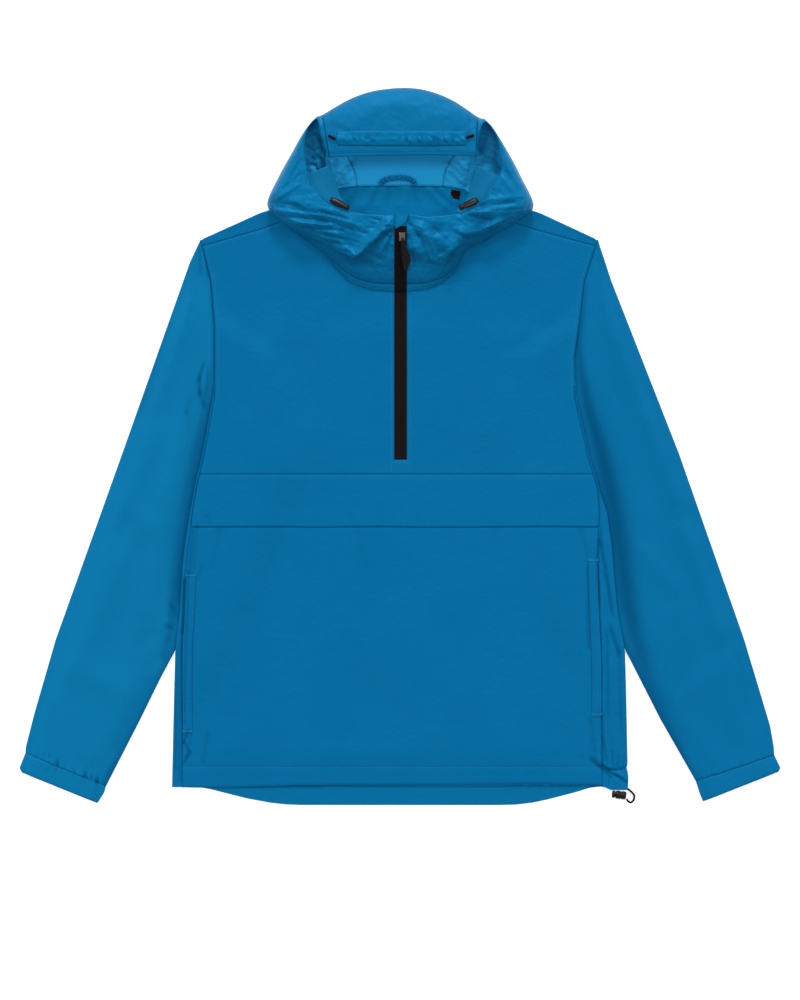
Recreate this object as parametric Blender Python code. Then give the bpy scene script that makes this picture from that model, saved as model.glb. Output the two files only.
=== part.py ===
"""Anorak pullover laid flat on its back: cloth panels, half zip, drawcords and trims.

Metres, +Z up. +X is the right of the front as it lies, +Y runs from the hem to the hood, and
the origin is on the floor under the middle of the garment. Rows of the tables are millimetres.
"""

import bmesh
import bpy
import numpy as np

MM = 0.001
SHARP_ANGLE = np.radians(50)  # edges that turn further than this are shaded sharp

# Driving dimensions.
CLOTH = 1.2 * MM  # wall of one layer of cloth
GAP = 0.3 * MM  # clearance between neighbouring pieces
AIR = 0.6 * MM  # air between the two layers at a folded edge
EDGE_HEIGHT = 2 * CLOTH + AIR  # height of a folded edge
BODY_LOFT = 2.6 * MM  # extra air under the middle of the front
SLEEVE_LOFT = 3.0 * MM  # extra air in the middle of a sleeve
UNDERARM_LIFT = EDGE_HEIGHT + GAP  # the body lies on the sleeves' inner edges
LIFT_RAMP = 60 * MM  # length over which the back comes down to the floor
ZIP_LEFT = -7.2 * MM  # edges of the slot for the zip
ZIP_RIGHT = 8.6 * MM
ZIP_BOTTOM = -16 * MM
ZIP_TOP = 272 * MM
TAPE_THICKNESS = 1.0 * MM
TAPE_SUNK = 0.4 * MM  # the tape lies this far below the edges of its slot
WELT_THICKNESS = 1.0 * MM
BRIM_CHANNEL_THICKNESS = 1.0 * MM
CUFF_LOFT = 2.6 * MM
CUFF_GATHERS = 11  # puckers across a cuff
GATHER_HEIGHT = 0.7 * MM
HEM_CORD_DIAMETER = 2.6 * MM
HOOD_CORD_DIAMETER = 3.5 * MM
CORD_LOCK_SIZE = (18.4 * MM, 10.4 * MM, 8.0 * MM)
TOGGLE_LENGTH = 26 * MM
TOGGLE_RADIUS = 4.2 * MM
SLIDER_SIZE = (7.6 * MM, 10.5 * MM, 4.4 * MM)
PULL_THICKNESS = 2.4 * MM
PULL_CLEARANCE = 0.6 * MM  # the pull rests this far above the cloth beside the zip

BLUE = (0.012, 0.165, 0.370)
LIGHT_BLUE = (0.018, 0.190, 0.400)
BLACK = (0.012, 0.011, 0.011)
BRONZE = (0.120, 0.085, 0.060)
SILVER = (0.560, 0.560, 0.570)


def table(names, rows):
    """The columns of a table by name, in metres."""
    return dict(zip(names.split(), np.array(rows, float).T * MM))


def look_up(chart, key, name, at):
    """Straight interpolation of one column at positions of another."""
    return np.interp(at, chart[key], chart[name])


# Outline of the body: folded side edges (armhole seam from y 80.6 upwards) and side seams.
SIDES = table(
    "y left right left_seam right_seam",
    [
        (-421, -282.7, 282.7, -270, 250.5),
        (-384, -281.8, 282.0, -270, 250.5),
        (-294, -279.6, 280.0, -270, 250.3),
        (-252, -278.4, 278.8, -270, 249.5),
        (-203, -272.8, 269.5, -267, 247.0),
        (-150, -269.8, 264.5, -265, 245.5),
        (-123, -266.6, 262.4, -262, 245.0),
        (-82, -260.5, 256.7, -257.0, 247.0),
        (-56, -255.5, 248.0, -253.0, 245.5),
        (-34, -251.0, 242.0, -248.5, 239.5),
        (-16, -246.5, 236.0, -244.0, 233.5),
        (18.6, -239.8, 228.5, -237.3, 226.0),
        (59.5, -232.5, 219.0, -230.0, 216.5),
        (80.6, -229.5, 217.0, -229.5, 217.0),
        (111.6, -229.5, 216.0, -229.5, 216.0),
        (152, -229.5, 221.5, -229.5, 221.5),
        (205, -234.5, 228.7, -234.5, 228.7),
        (257, -247.0, 245.0, -247.0, 245.0),
    ],
)
FIRST_ARMHOLE_Y = 80 * MM
ARMPITS = {"left": (-186 * MM, 21 * MM), "right": (174 * MM, 21 * MM)}

# How far in from the side the sleeve lifts the back fully, at each height.
LIFTED = table(
    "y left right",
    [
        (-420, -345, 345),
        (-330, -300, 300),
        (-252, -245, 245),
        (-120, -190, 186),
        (21, -142, 134),
        (80, -168, 160),
        (112, -188, 178),
        (186, -290, 290),
    ],
)

HEMS = table(
    "x front back",
    [
        (-283, -421.5, -421.5),
        (-242, -422.5, -423.5),
        (-198, -421.5, -434.0),
        (-136, -419.8, -443.4),
        (0, -418.5, -443.9),
        (124, -417.8, -443.9),
        (198, -417.5, -434.0),
        (236, -418.5, -421.5),
        (283, -421.5, -421.5),
    ],
)

# Shoulder fold and neck seam of the back, and shoulder seam and neckline of the front.
TOP_OF_BACK = table(
    "x y",
    [
        (-247, 257),
        (-174, 290),
        (-100, 314),
        (-75, 323),
        (-53, 325),
        (0, 326),
        (53, 325),
        (75, 323),
        (100, 314),
        (174, 290),
        (245, 257),
    ],
)
TOP_OF_FRONT = table(
    "x y",
    [
        (-243, 249),
        (-174, 269),
        (-152, 277),
        (-97, 296),
        (-90, 246),
        (-78, 226),
        (-67, 212),
        (-52, 204.5),
        (-35, 198),
        (-10, 195.5),
        (10, 196.5),
        (39, 200),
        (55, 208),
        (69, 221),
        (80, 246),
        (92, 296),
        (152, 274),
        (174, 267),
        (241, 249),
    ],
)
NECK_REACH = 104 * MM  # the back turns over the shoulders outside this distance
FAN_BASE = 188 * MM  # rows above this line fan out to the shoulders and the neck

# Soft ridges of the front: a line between two points, its half width and its height.
FRONT_RIDGES = table(
    "x0 y0 x1 y1 width height",
    [
        (-170, 60, -150, 180, 16, 0.9),
        (165, 40, 172, 170, 18, 0.8),
        (-120, -20, -60, 60, 22, 0.6),
        (90, 20, 130, 130, 24, 0.7),
        (-205, -300, -190, -180, 20, 0.8),
        (205, -330, 196, -190, 18, 0.9),
        (-90, -390, 40, -360, 20, 0.7),
        (-60, -250, 60, -190, 34, 0.9),
    ],
)
SLEEVE_RIDGES = {
    "left": table(
        "x0 y0 x1 y1 width height",
        [
            (-262, 175, -300, 60, 15, 1.4),
            (-300, 20, -352, -90, 14, 1.2),
            (-330, -110, -395, -260, 13, 1.0),
            (-360, -60, -310, -100, 14, 1.1),
            (-420, -270, -345, -300, 14, 0.9),
            (-275, -150, -300, -250, 12, 1.0),
        ],
    ),
    "right": table(
        "x0 y0 x1 y1 width height",
        [
            (252, 185, 280, 90, 15, 1.3),
            (300, 60, 340, -60, 14, 1.1),
            (352, -100, 400, -230, 14, 1.1),
            (300, -130, 338, -170, 14, 1.2),
            (425, -250, 350, -310, 14, 1.0),
            (275, -170, 300, -240, 12, 0.9),
        ],
    ),
}
HOOD_RIDGES = table(
    "x0 y0 x1 y1 width height",
    [
        (-152, 285, -78, 262, 7, 3.5),
        (-128, 301, -60, 278, 6, 2.5),
        (-134, 268, -58, 234, 8, 3.5),
        (-58, 231, -14, 274, 7, 5.0),
        (-42, 252, -14, 268, 5, 2.0),
        (60, 232, 76, 262, 9, 4.5),
        (76, 262, 122, 268, 9, 4.0),
        (26, 268, 60, 246, 7, 3.0),
        (22, 246, 52, 212, 7, 2.5),
        (88, 288, 150, 292, 8, 2.5),
        (-40, 205, -30, 226, 5, 1.5),
    ],
)
HOOD_TROUGHS = table(
    "x0 y0 x1 y1 width height",
    [
        (-72, 232, -40, 218, 9, 3.0),
        (22, 228, 46, 214, 9, 2.0),
        (-140, 296, -90, 276, 5, 1.5),
        (84, 276, 118, 282, 6, 2.0),
    ],
)

# Hood stations from the zip round to the crown seam. Each has a point on the neck seam, one on
# the outer fold and one on the rim of the face opening, the height of the layer that lies on
# the body or on the floor, and how far the upper layer swells above the rim.
HOOD_COLUMNS = "neck_x neck_y neck_z low fold_x fold_y fold_z rim_x rim_y rim_z swell"
HOOD_STATIONS = {
    "left": table(
        HOOD_COLUMNS,
        [
            (-7.4, 193, 5.0, 5.0, -7.4, 202, 9.0, -7.4, 286, 31, 1.0),
            (-35, 195, 5.0, 5.0, -34, 204, 9.5, -30, 286, 31, 1.0),
            (-61, 203, 5.0, 5.0, -60, 212, 10, -52, 288, 32, 1.5),
            (-80, 221, 5.0, 5.0, -81, 229, 11, -68, 290.5, 33, 2.0),
            (-93, 245, 4.6, 4.6, -107, 249, 12, -80, 295, 34, 3.0),
            (-98, 270, 3.6, 3.6, -135, 268, 13, -92, 302.6, 35, 4.0),
            (-97, 294, 3.8, 3.8, -155, 285, 14, -103, 313.7, 36, 5.0),
            (-97, 309, 3.8, 3.6, -164, 302, 14, -112, 327, 36, 5.0),
            (-80, 319, 1.9, 0.0, -150, 334, 14, -115.3, 346, 35, 4.0),
            (-66, 321.7, 1.8, 0.0, -134, 363, 13, -118.3, 366.5, 33, 2.5),
            (-58, 322.4, 1.8, 0.0, -119, 389, 13, -114, 390.5, 30, 1.5),
            (-54, 322.9, 1.8, 0.0, -104, 407, 14, -103, 403.5, 28, 1.0),
            (-53.6, 322.9, 1.8, 0.0, -100, 409, 14, -97.5, 383, 31, 1.5),
            (-53.2, 322.9, 1.8, 0.0, -96, 410.5, 14, -87.5, 357, 33, 2.0),
        ],
    ),
    "right": table(
        HOOD_COLUMNS,
        [
            (8.8, 193, 5.0, 5.0, 8.8, 202, 9.0, 8.8, 287, 31, 1.0),
            (34, 196, 5.0, 5.0, 34, 204, 9.5, 32, 283.5, 31, 1.0),
            (52, 203, 5.0, 5.0, 54, 211, 10, 56, 285, 32, 1.5),
            (69, 217, 5.0, 5.0, 70, 224, 11, 75, 288, 33, 2.0),
            (79, 237, 5.0, 5.0, 82, 243, 12, 88.5, 293, 34, 3.0),
            (86, 262, 4.4, 4.4, 106, 254.5, 13, 100, 300, 35, 4.0),
            (91, 286, 3.8, 3.8, 143, 277, 14, 110.5, 313, 36, 5.0),
            (95, 307, 3.8, 3.6, 165, 297, 14, 117.5, 326.5, 36, 5.0),
            (80, 319, 1.9, 0.0, 150, 333, 14, 125, 340, 35, 4.0),
            (66, 321.7, 1.8, 0.0, 136, 360, 13, 124.5, 358, 33, 2.5),
            (58, 322.4, 1.8, 0.0, 119.5, 387, 13, 116.5, 388.5, 30, 1.5),
            (54, 322.9, 1.8, 0.0, 106, 404, 14, 104.5, 400, 28, 1.0),
            (53.6, 322.9, 1.8, 0.0, 101, 406, 14, 97.5, 383, 31, 1.5),
            (53.2, 322.9, 1.8, 0.0, 96, 408, 14, 94, 357, 33, 2.0),
        ],
    ),
}
CROWN_STATIONS = table(
    HOOD_COLUMNS,
    [
        (-53.2, 322.9, 1.8, 0.0, -96, 410.5, 14, -87.5, 357, 33, 2.0),
        (-40, 323.1, 1.8, 0.0, -63, 429.5, 14, -62, 357.5, 34, 3.0),
        (-20, 323.4, 1.8, 0.0, -33, 440, 14, -31, 358, 35, 3.5),
        (0, 323.6, 1.8, 0.0, 4, 443.9, 14, 3, 358.5, 35, 3.5),
        (20, 323.4, 1.8, 0.0, 34, 440.5, 14, 35, 359, 35, 3.5),
        (40, 323.1, 1.8, 0.0, 65, 428.5, 14, 66, 358.5, 34, 3.0),
        (53.2, 322.9, 1.8, 0.0, 96, 408, 14, 94, 357, 33, 2.0),
    ],
)
LOWER_SAMPLES = 5
UPPER_SAMPLES = 7
STATION_STEPS = 2  # sections from one station to the next

# Inner edge of the facings, a row at each of these hood stations.
FACING_THICKNESS = 1.0 * MM
FACING_CLEARANCE = 1.5 * MM  # the facings start this far inside the rim
FACING_STATIONS = np.array([3, 4, 5, 6, 7, 7.5])
FACINGS = {
    "left": table("x y z", [(-62.0, 294.5, 22), (-69.5, 303.0, 20), (-74.5, 311.0, 19),
                            (-77.0, 321.0, 20), (-81.0, 335.0, 22), (-86.5, 348.0, 24)]),
    "right": table("x y z", [(69.0, 291.5, 22), (78.0, 300.0, 20), (83.5, 309.0, 19),
                             (86.0, 321.0, 20), (91.0, 335.0, 22), (95.5, 347.0, 24)]),
}

# Places of the zip's hardware and of the trims.
SLIDER_PLACE = (2.6 * MM, 259.5 * MM)
SLIDER_SEAT = 0.4 * MM
PULL_HINGE = (3.4 * MM, 255.5 * MM, 35.4 * MM)
PULL_OUTLINE = table(
    "along left right",
    [
        (-0.9, -1.6, 1.6),
        (4, -2.0, 2.2),
        (13, -2.4, 5.6),
        (22, -1.2, 9.8),
        (29, -0.4, 9.8),
        (36, 0.4, 7.0),
        (42, 1.6, 5.2),
    ],
)
GARAGE_CORNERS = {
    "top_left": (-6.0, 286.4),
    "top_right": (12.4, 286.4),
    "low_right": (6.6, 274.5),
    "low_left": (-6.0, 268.0),
}
GARAGE_SEAT = 0.8 * MM
LOOP_SPINE = [(-25, 325), (-21, 330.5), (-14, 334), (-5, 335.5), (5, 335.5), (12, 334), (17, 330),
              (19, 325)]
LOOP_WIDTH = 6 * MM
LOOP_SEAT = 3.4 * MM
LABEL_SIZE = (11.5 * MM, 10.5 * MM)
LABEL_THICKNESS = 0.8 * MM
LABEL_PLACE = (68.5 * MM, 313 * MM)
TOGGLE_PLACES = {"left": (-74.2, 299.1, 34.1, -27), "right": (84.5, 298.8, 34.8, 205)}
HOOD_CORDS = {
    "left": ((-88.5, 383, 36.0), (-79.5, 378.5, 36.0)),
    "right": ((90.5, 383.5, 36.0), (82.5, 380.5, 36.0)),
}
CORD_LOCK_PLACE = (271.5 * MM, -431.0 * MM)
HEM_CORD_ROUTE = [
    (281.3, -423.2, 1.6),
    (286.4, -427.0, 1.6),
    (290.4, -432.0, 1.7),
    (289.4, -437.6, 2.0),
    (285.8, -440.6, 2.4),
    (282.6, -438.8, 2.8),
    (281.0, -436.2, 3.0),
]

# Outlines of the sleeves: along the outer and the inner edge from the armhole to the cuff.
SLEEVE_EDGES = {
    "left": {
        "outer": table("x y", [(-247.3, 257), (-260.5, 229), (-344, -7), (-427, -239),
                               (-453.4, -330.5), (-464, -372), (-464.3, -379.2)]),
        "inner": table("x y", [(-186, 21), (-232, -115), (-278.6, -252), (-297.6, -288),
                               (-322.4, -338.5), (-364.5, -420.6)]),
    },
    "right": {
        "outer": table("x y", [(245.3, 257), (262, 206), (346, -8.3), (427, -239.3),
                               (459, -346), (463.5, -372), (464.0, -381.8)]),
        "inner": table("x y", [(174, 21), (226, -115), (279.6, -252.5), (322.4, -336.7),
                               (366.5, -414)]),
    },
}
CUFF_OUTLINES = {
    "left": {"outer": table("x y", [(-464.6, -379.5), (-471.9, -398), (-468.5, -403.5)]),
             "inner": table("x y", [(-364.8, -421.0), (-366.5, -428), (-375, -441.4)])},
    "right": {"outer": table("x y", [(464.3, -382.1), (471.9, -398), (469.0, -402.5)]),
              "inner": table("x y", [(366.8, -414.3), (372, -431), (375.7, -439.3)])},
}

# Columns of the body panels, as shares of the way from a side edge to the zip.
HALF_COLUMNS = np.array([0, 0.06, 0.19, 0.34, 0.50, 0.6125, 0.69, 0.79, 0.89, 1])
LOWER_ROWS = np.array([-398, -375, -352, -331, -285, -240, -200, -159, -140, -99]) * MM
FLAP_ROWS = np.array([-99, -77, -55, -34.3]) * MM
CHEST_ROWS = np.array([-33.9, -16, 10, 35, 59.5, 80.6, 111.6, 152, 188]) * MM
ARMHOLE_FAN_ROWS = np.array([205, 230]) * MM


def blended(colour, roughness, metallic=0.0):
    """A Principled material from its three main values."""
    return {"colour": colour, "roughness": roughness, "metallic": metallic}


FINISHES = {
    "shell_cloth": blended(BLUE, 0.55),
    "hood_cloth": blended(LIGHT_BLUE, 0.50),
    "tape_black": blended(BLACK, 0.85),
    "trim_black": blended(BLACK, 0.60),
    "toggle_bronze": blended(BRONZE, 0.35, 0.6),
    "slider_metal": blended(SILVER, 0.35, 1.0),
}


def finish(name):
    """The material of this name, made once."""
    material = bpy.data.materials.get(name)
    if material is None:
        material = bpy.data.materials.new(name)
        material.use_nodes = True
        shader = material.node_tree.nodes["Principled BSDF"]
        values = FINISHES[name]
        shader.inputs["Base Color"].default_value = (*values["colour"], 1)
        shader.inputs["Roughness"].default_value = values["roughness"]
        shader.inputs["Metallic"].default_value = values["metallic"]
        material.diffuse_color = (*values["colour"], 1)
    return material


def smooth_step(share):
    """0 below 0, 1 above 1 and an S-curve between."""
    t = np.clip(share, 0, 1)
    return t * t * (3 - 2 * t)


def through(values, at):
    """A smooth curve through rows of values, read at row positions such as 2.5."""
    values = np.asarray(values, float)
    slopes = np.gradient(values, axis=0)
    row = np.clip(np.floor(at).astype(int), 0, len(values) - 2)
    t = (np.asarray(at) - row).reshape((-1,) + (1,) * (values.ndim - 1))
    start = (1 + 2 * t) * (1 - t) ** 2 * values[row] + t * (1 - t) ** 2 * slopes[row]
    end = t * t * (3 - 2 * t) * values[row + 1] + t * t * (t - 1) * slopes[row + 1]
    return start + end


def ridge_height(x, y, ridges):
    """Summed height of soft ridges, each a Gaussian of the distance to its line."""
    total = np.zeros(np.broadcast(x, y).shape)
    for k in range(len(ridges["x0"])):
        start = np.array([ridges["x0"][k], ridges["y0"][k]])
        run = np.array([ridges["x1"][k], ridges["y1"][k]]) - start
        share = ((x - start[0]) * run[0] + (y - start[1]) * run[1]) / (run @ run)
        share = np.clip(share, 0, 1)
        away = np.hypot(x - start[0] - share * run[0], y - start[1] - share * run[1])
        total = total + ridges["height"][k] * np.exp(-((away / ridges["width"][k]) ** 2))
    return total


def unit_normals(grid):
    """Unit vectors across a grid of points, along columns x rows."""
    along = np.gradient(grid, axis=0)
    across = np.gradient(grid, axis=1)
    normal = np.cross(along, across)
    return normal / np.linalg.norm(normal, axis=-1, keepdims=True)


def add_object(name, shape, material_name):
    """A named object from a bmesh, which it frees, with its faces turned outwards."""
    bmesh.ops.recalc_face_normals(shape, faces=shape.faces)
    mesh = bpy.data.meshes.new(name)
    shape.to_mesh(mesh)
    shape.free()
    mesh.materials.append(finish(material_name))
    mesh.shade_smooth()
    mesh.set_sharp_from_angle(angle=SHARP_ANGLE)
    part = bpy.data.objects.new(name, mesh)
    bpy.context.scene.collection.objects.link(part)
    return part


def wall(name, outer, inner, material_name, around=False, kept=None):
    """A closed cloth wall between two grids of points.

    Each kept cell becomes two triangles on either face, and each open border gets an edge strip.
    """
    rows, columns = outer.shape[:2]
    count = rows * columns
    index = np.arange(count).reshape(rows, columns)
    if around:
        index = np.concatenate([index, index[:, :1]], axis=1)
    corners = (index[:-1, :-1], index[:-1, 1:], index[1:, 1:], index[1:, :-1])
    quads = np.stack(corners, axis=-1)
    quads = quads.reshape(-1, 4) if kept is None else quads[kept]
    top = np.concatenate([quads[:, [0, 1, 2]], quads[:, [0, 2, 3]]])
    edges = np.concatenate([quads[:, [k, (k + 1) % 4]] for k in range(4)])
    paired = np.isin(edges[:, 0] * count + edges[:, 1], edges[:, 1] * count + edges[:, 0])
    start, end = edges[~paired].T
    strip = np.concatenate(
        [np.stack([end, start, start + count], 1), np.stack([end, start + count, end + count], 1)]
    )
    faces = np.concatenate([top, top[:, ::-1] + count, strip])
    used, faces = np.unique(faces, return_inverse=True)
    points = np.concatenate([outer.reshape(-1, 3), inner.reshape(-1, 3)])[used]
    mesh = bpy.data.meshes.new("grid")
    mesh.from_pydata(points.tolist(), [], faces.reshape(-1, 3).tolist())
    shape = bmesh.new()
    shape.from_mesh(mesh)
    bpy.data.meshes.remove(mesh)
    return add_object(name, shape, material_name)


def lift(x, y):
    """Height of the back's underside, which climbs over the sleeves' hidden inner edges."""
    left = (look_up(LIFTED, "y", "left", y) + LIFT_RAMP - x) / LIFT_RAMP
    right = (x - look_up(LIFTED, "y", "right", y) + LIFT_RAMP) / LIFT_RAMP
    return UNDERARM_LIFT * np.maximum(smooth_step(left), smooth_step(right))


def front_height(x, y):
    """Height of the front's outer face: the folded edge's, with a soft loft in the middle."""
    from_side = np.minimum(x - look_up(SIDES, "y", "left_seam", y),
                           look_up(SIDES, "y", "right_seam", y) - x)
    inside = smooth_step(from_side / (85 * MM))
    inside = inside * smooth_step((y + 420 * MM) / (50 * MM))
    inside = inside * smooth_step((FAN_BASE - y) / (60 * MM))
    swell = BODY_LOFT + ridge_height(x, y, FRONT_RIDGES)
    return lift(x, y) + EDGE_HEIGHT + inside * swell


def across(left, right):
    """Column positions of each row: left edge to zip slot, and zip slot to right edge."""
    left = np.asarray(left)[:, None]
    right = np.asarray(right)[:, None]
    left_half = left + (ZIP_LEFT - left) * HALF_COLUMNS
    right_half = right + (ZIP_RIGHT - right) * HALF_COLUMNS[::-1]
    return np.concatenate([left_half, right_half], axis=1)


def fan(y_rows, left_key, right_key, top):
    """Body columns over straight rows, then rows that fan out to the top edge.

    The side edges follow the body's outline; top is the table that the last row follows.
    """
    side_top = top["y"][0]
    side_y = np.concatenate([y_rows, ARMHOLE_FAN_ROWS, [side_top]])
    x = across(look_up(SIDES, "y", left_key, side_y), look_up(SIDES, "y", right_key, side_y))
    share = np.clip((side_y - FAN_BASE) / (side_top - FAN_BASE), 0, 1)[:, None]
    straight = np.minimum(side_y, FAN_BASE)[:, None]
    y = straight + share * (look_up(top, "x", "y", x) - FAN_BASE)
    return x, y


def folded_edge(edge, inward, base, seam, seam_height, folded):
    """Points that carry the back round a side fold to its seam, as (across, height) pairs.

    The wall runs round a half circle where it is folded and lies flat where it isn't.
    """
    turn = np.linspace(0, np.pi, 5)
    outer_radius = EDGE_HEIGHT / 2
    inner_radius = outer_radius - CLOTH
    steps = (2.5 - 0.5 * np.arange(6)) * MM
    flat_across = edge[:, None] + inward * np.maximum(steps, 0.05 * MM)
    sides = []
    for radius, flat_height, top in (
        (outer_radius, 0, seam_height),
        (inner_radius, CLOTH, seam_height - CLOTH),
    ):
        x = edge[:, None] + inward * (outer_radius - radius * np.sin(turn))
        z = base[:, None] + outer_radius - radius * np.cos(turn)
        x = np.concatenate([x, seam[:, None]], axis=1)
        z = np.concatenate([z, top[:, None]], axis=1)
        flat_z = np.repeat(base[:, None] + flat_height, 6, axis=1)
        x = np.where(folded[:, None], x, flat_across)
        z = np.where(folded[:, None], z, flat_z)
        sides.append((x, z))
    return sides


def back_panel():
    """The back, turned round the side folds to the side seams and over the shoulders."""
    straight = np.concatenate([[-421.5 * MM], LOWER_ROWS[:-1], FLAP_ROWS, CHEST_ROWS[1:]])
    x, y = fan(straight, "left", "right", TOP_OF_BACK)
    side_y = y[:, 0].copy()
    x[:, 0] += 2.5 * MM
    x[:, -1] -= 2.5 * MM
    y[0] = look_up(HEMS, "x", "back", x[0])
    outer_z = lift(x, y)
    folded = side_y < FIRST_ARMHOLE_Y
    halves = []
    for side, inward in (("left", 1), ("right", -1)):
        edge = look_up(SIDES, "y", side, side_y)
        seam = look_up(SIDES, "y", side + "_seam", side_y) - inward * GAP / 2
        base = lift(edge, side_y)
        halves.append(
            folded_edge(edge, inward, base, seam, front_height(seam, side_y), folded)
        )
    edge_y = np.repeat(side_y[:, None], 6, axis=1)
    grids = []
    for face, height in ((0, outer_z), (1, outer_z + CLOTH)):
        left_x, left_z = halves[0][face]
        right_x, right_z = halves[1][face]
        grid_x = np.concatenate([left_x[:, ::-1], x, right_x], axis=1)
        grid_z = np.concatenate([left_z[:, ::-1], height, right_z], axis=1)
        grid_y = np.concatenate([edge_y, y, edge_y], axis=1)
        grids.append(np.stack([grid_x, grid_y, grid_z], axis=-1))
    outer, inner = (over_shoulders(grid, face) for face, grid in enumerate(grids))
    wall("back", outer, inner, "shell_cloth")


def over_shoulders(grid, face):
    """Adds the rows that turn over the shoulder fold and come down to the shoulder seam.

    In the neck the added rows lie flat and end at the neck seam.
    """
    outer_radius = EDGE_HEIGHT / 2
    radius = outer_radius - CLOTH * face
    grid = grid.copy()
    grid[-1, :, 1] -= outer_radius
    top = grid[-1]
    at_shoulder = (np.abs(top[:, 0]) > NECK_REACH)[:, None]
    rows = []
    for turn in np.linspace(0, np.pi, 5)[1:]:
        folded = top.copy()
        folded[:, 1] += radius * np.sin(turn)
        folded[:, 2] = outer_radius - radius * np.cos(turn)
        flat = top.copy()
        flat[:, 1] += 0.3 * MM * turn
        rows.append(np.where(at_shoulder, folded, flat))
    folded = top.copy()
    seam_y = look_up(TOP_OF_FRONT, "x", "y", top[:, 0]) + GAP
    folded[:, 1] = np.minimum(seam_y, top[:, 1] - 2 * MM)
    folded[:, 2] = EDGE_HEIGHT - CLOTH * face
    flat = top.copy()
    flat[:, 1] += 1.2 * MM
    rows.append(np.where(at_shoulder, folded, flat))
    grid = np.concatenate([grid, np.stack(rows)])
    clear = 0.05 * MM
    left = look_up(SIDES, "y", "left", grid[-6:, :, 1]) + clear
    right = look_up(SIDES, "y", "right", grid[-6:, :, 1]) - clear
    grid[-6:, :, 0] = np.clip(grid[-6:, :, 0], left, right)
    return grid


def front_points(x, y):
    """Points of the front's outer face."""
    return np.stack([x, y, front_height(x, y)], axis=-1)


def lower_front_grid():
    """Columns and rows of the lower front, from the hem to the chest seam."""
    side_y = np.concatenate([[-421.5 * MM], LOWER_ROWS[:-1], FLAP_ROWS])
    x = across(
        look_up(SIDES, "y", "left_seam", side_y) + GAP / 2,
        look_up(SIDES, "y", "right_seam", side_y) - GAP / 2,
    )
    y = np.repeat(side_y[:, None], x.shape[1], axis=1)
    y[0] = look_up(HEMS, "x", "front", x[0])
    return x, y


def drop(grid, thickness):
    """The same points lowered."""
    return grid - np.array([0, 0, thickness])


def lower_front():
    """Lower front with its pocket flap and side pocket welts."""
    x, y = lower_front_grid()
    outer = front_points(x, y)
    wall("front_lower", outer, drop(outer, CLOTH), "shell_cloth")
    first = len(LOWER_ROWS)
    flap = outer[first:] + np.array([0, 0, GAP + CLOTH])
    wall("pocket_flap", flap, drop(flap, CLOTH), "shell_cloth")
    row_of = {round(value / MM): k for k, value in enumerate(y[:, 0])}
    for side, low, high, columns in (
        ("left", -352, -159, slice(0, 2)),
        ("right", -331, -140, slice(-2, None)),
    ):
        strip = outer[row_of[low]:row_of[high] + 1, columns]
        strip = strip + np.array([0, 0, GAP + WELT_THICKNESS])
        wall("welt_" + side, strip, drop(strip, WELT_THICKNESS), "shell_cloth")


def upper_front():
    """Chest and shoulders of the front, with the slot for the zip."""
    x, y = fan(CHEST_ROWS, "left_seam", "right_seam", TOP_OF_FRONT)
    x[:, 0] += GAP / 2
    x[:, -1] -= GAP / 2
    outer = front_points(x, y)
    half = len(HALF_COLUMNS)
    kept = np.ones((outer.shape[0] - 1, outer.shape[1] - 1), bool)
    kept[1:, half - 1] = False
    wall("front_upper", outer, drop(outer, CLOTH), "shell_cloth", kept=kept)


def along(edge, shares):
    """Points at shares of the length of a polyline."""
    xy = np.stack([edge["x"], edge["y"]], axis=-1)
    length = np.concatenate([[0], np.cumsum(np.hypot(*np.diff(xy, axis=0).T))])
    at = np.asarray(shares) * length[-1]
    return np.stack([np.interp(at, length, xy[:, k]) for k in (0, 1)], axis=-1)


def patch(start, end, outer, inner, across_shares, along_shares):
    """A Coons patch: points between four edges that meet at the corners."""
    u = across_shares[None, :, None]
    v = along_shares[:, None, None]
    ruled = (1 - v) * start[None] + v * end[None]
    lofted = (1 - u) * outer[:, None] + u * inner[:, None]
    corners = (1 - v) * ((1 - u) * start[0] + u * start[-1]) + v * (
        (1 - u) * end[0] + u * end[-1]
    )
    return ruled + lofted - corners


def tube(name, plan, height, material_name, skip=2):
    """A flattened cloth tube, open at both ends, from its plan and the height of its top.

    The underside lies on the floor and keeps one point in every few.
    """
    half = EDGE_HEIGHT / 2
    inset = plan.copy()
    toward = plan[:, 1] - plan[:, 0]
    inset[:, 0] += CLOTH * toward / np.linalg.norm(toward, axis=-1, keepdims=True)
    toward = plan[:, -2] - plan[:, -1]
    inset[:, -1] += CLOTH * toward / np.linalg.norm(toward, axis=-1, keepdims=True)
    faces = []
    for points, top, bottom in ((plan, height, 0), (inset, height - CLOTH, CLOTH)):
        upper = np.concatenate([points, top[..., None]], axis=-1)
        upper[:, 0, 2] = half
        upper[:, -1, 2] = half
        lower = np.concatenate([points, np.full(top.shape + (1,), float(bottom))], axis=-1)
        faces.append(np.concatenate([upper, lower[:, -2:0:-skip]], axis=1))
    wall(name, faces[0], faces[1], material_name, around=True)


def armhole_points(side, steps):
    """The sleeve's edge along the armhole seam, from the shoulder tip to the hidden armpit."""
    away = -GAP if side == "left" else GAP
    heights = np.array([257, 240, 222, 205, 180, 152, 132, 111.6, 96, 80.6]) * MM
    seam_x = look_up(SIDES, "y", side, heights) + away
    armpit = np.array(ARMPITS[side])
    corner = np.array([seam_x[-1], heights[-1]])
    hidden = corner + (armpit - corner) * np.linspace(0, 1, steps + 1)[1:, None]
    return np.concatenate([np.stack([seam_x, heights], axis=-1), hidden])


def shares_of(points):
    """Share of the length at each point of a polyline."""
    length = np.concatenate([[0], np.cumsum(np.hypot(*np.diff(points, axis=0).T))])
    return length / length[-1]


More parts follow.
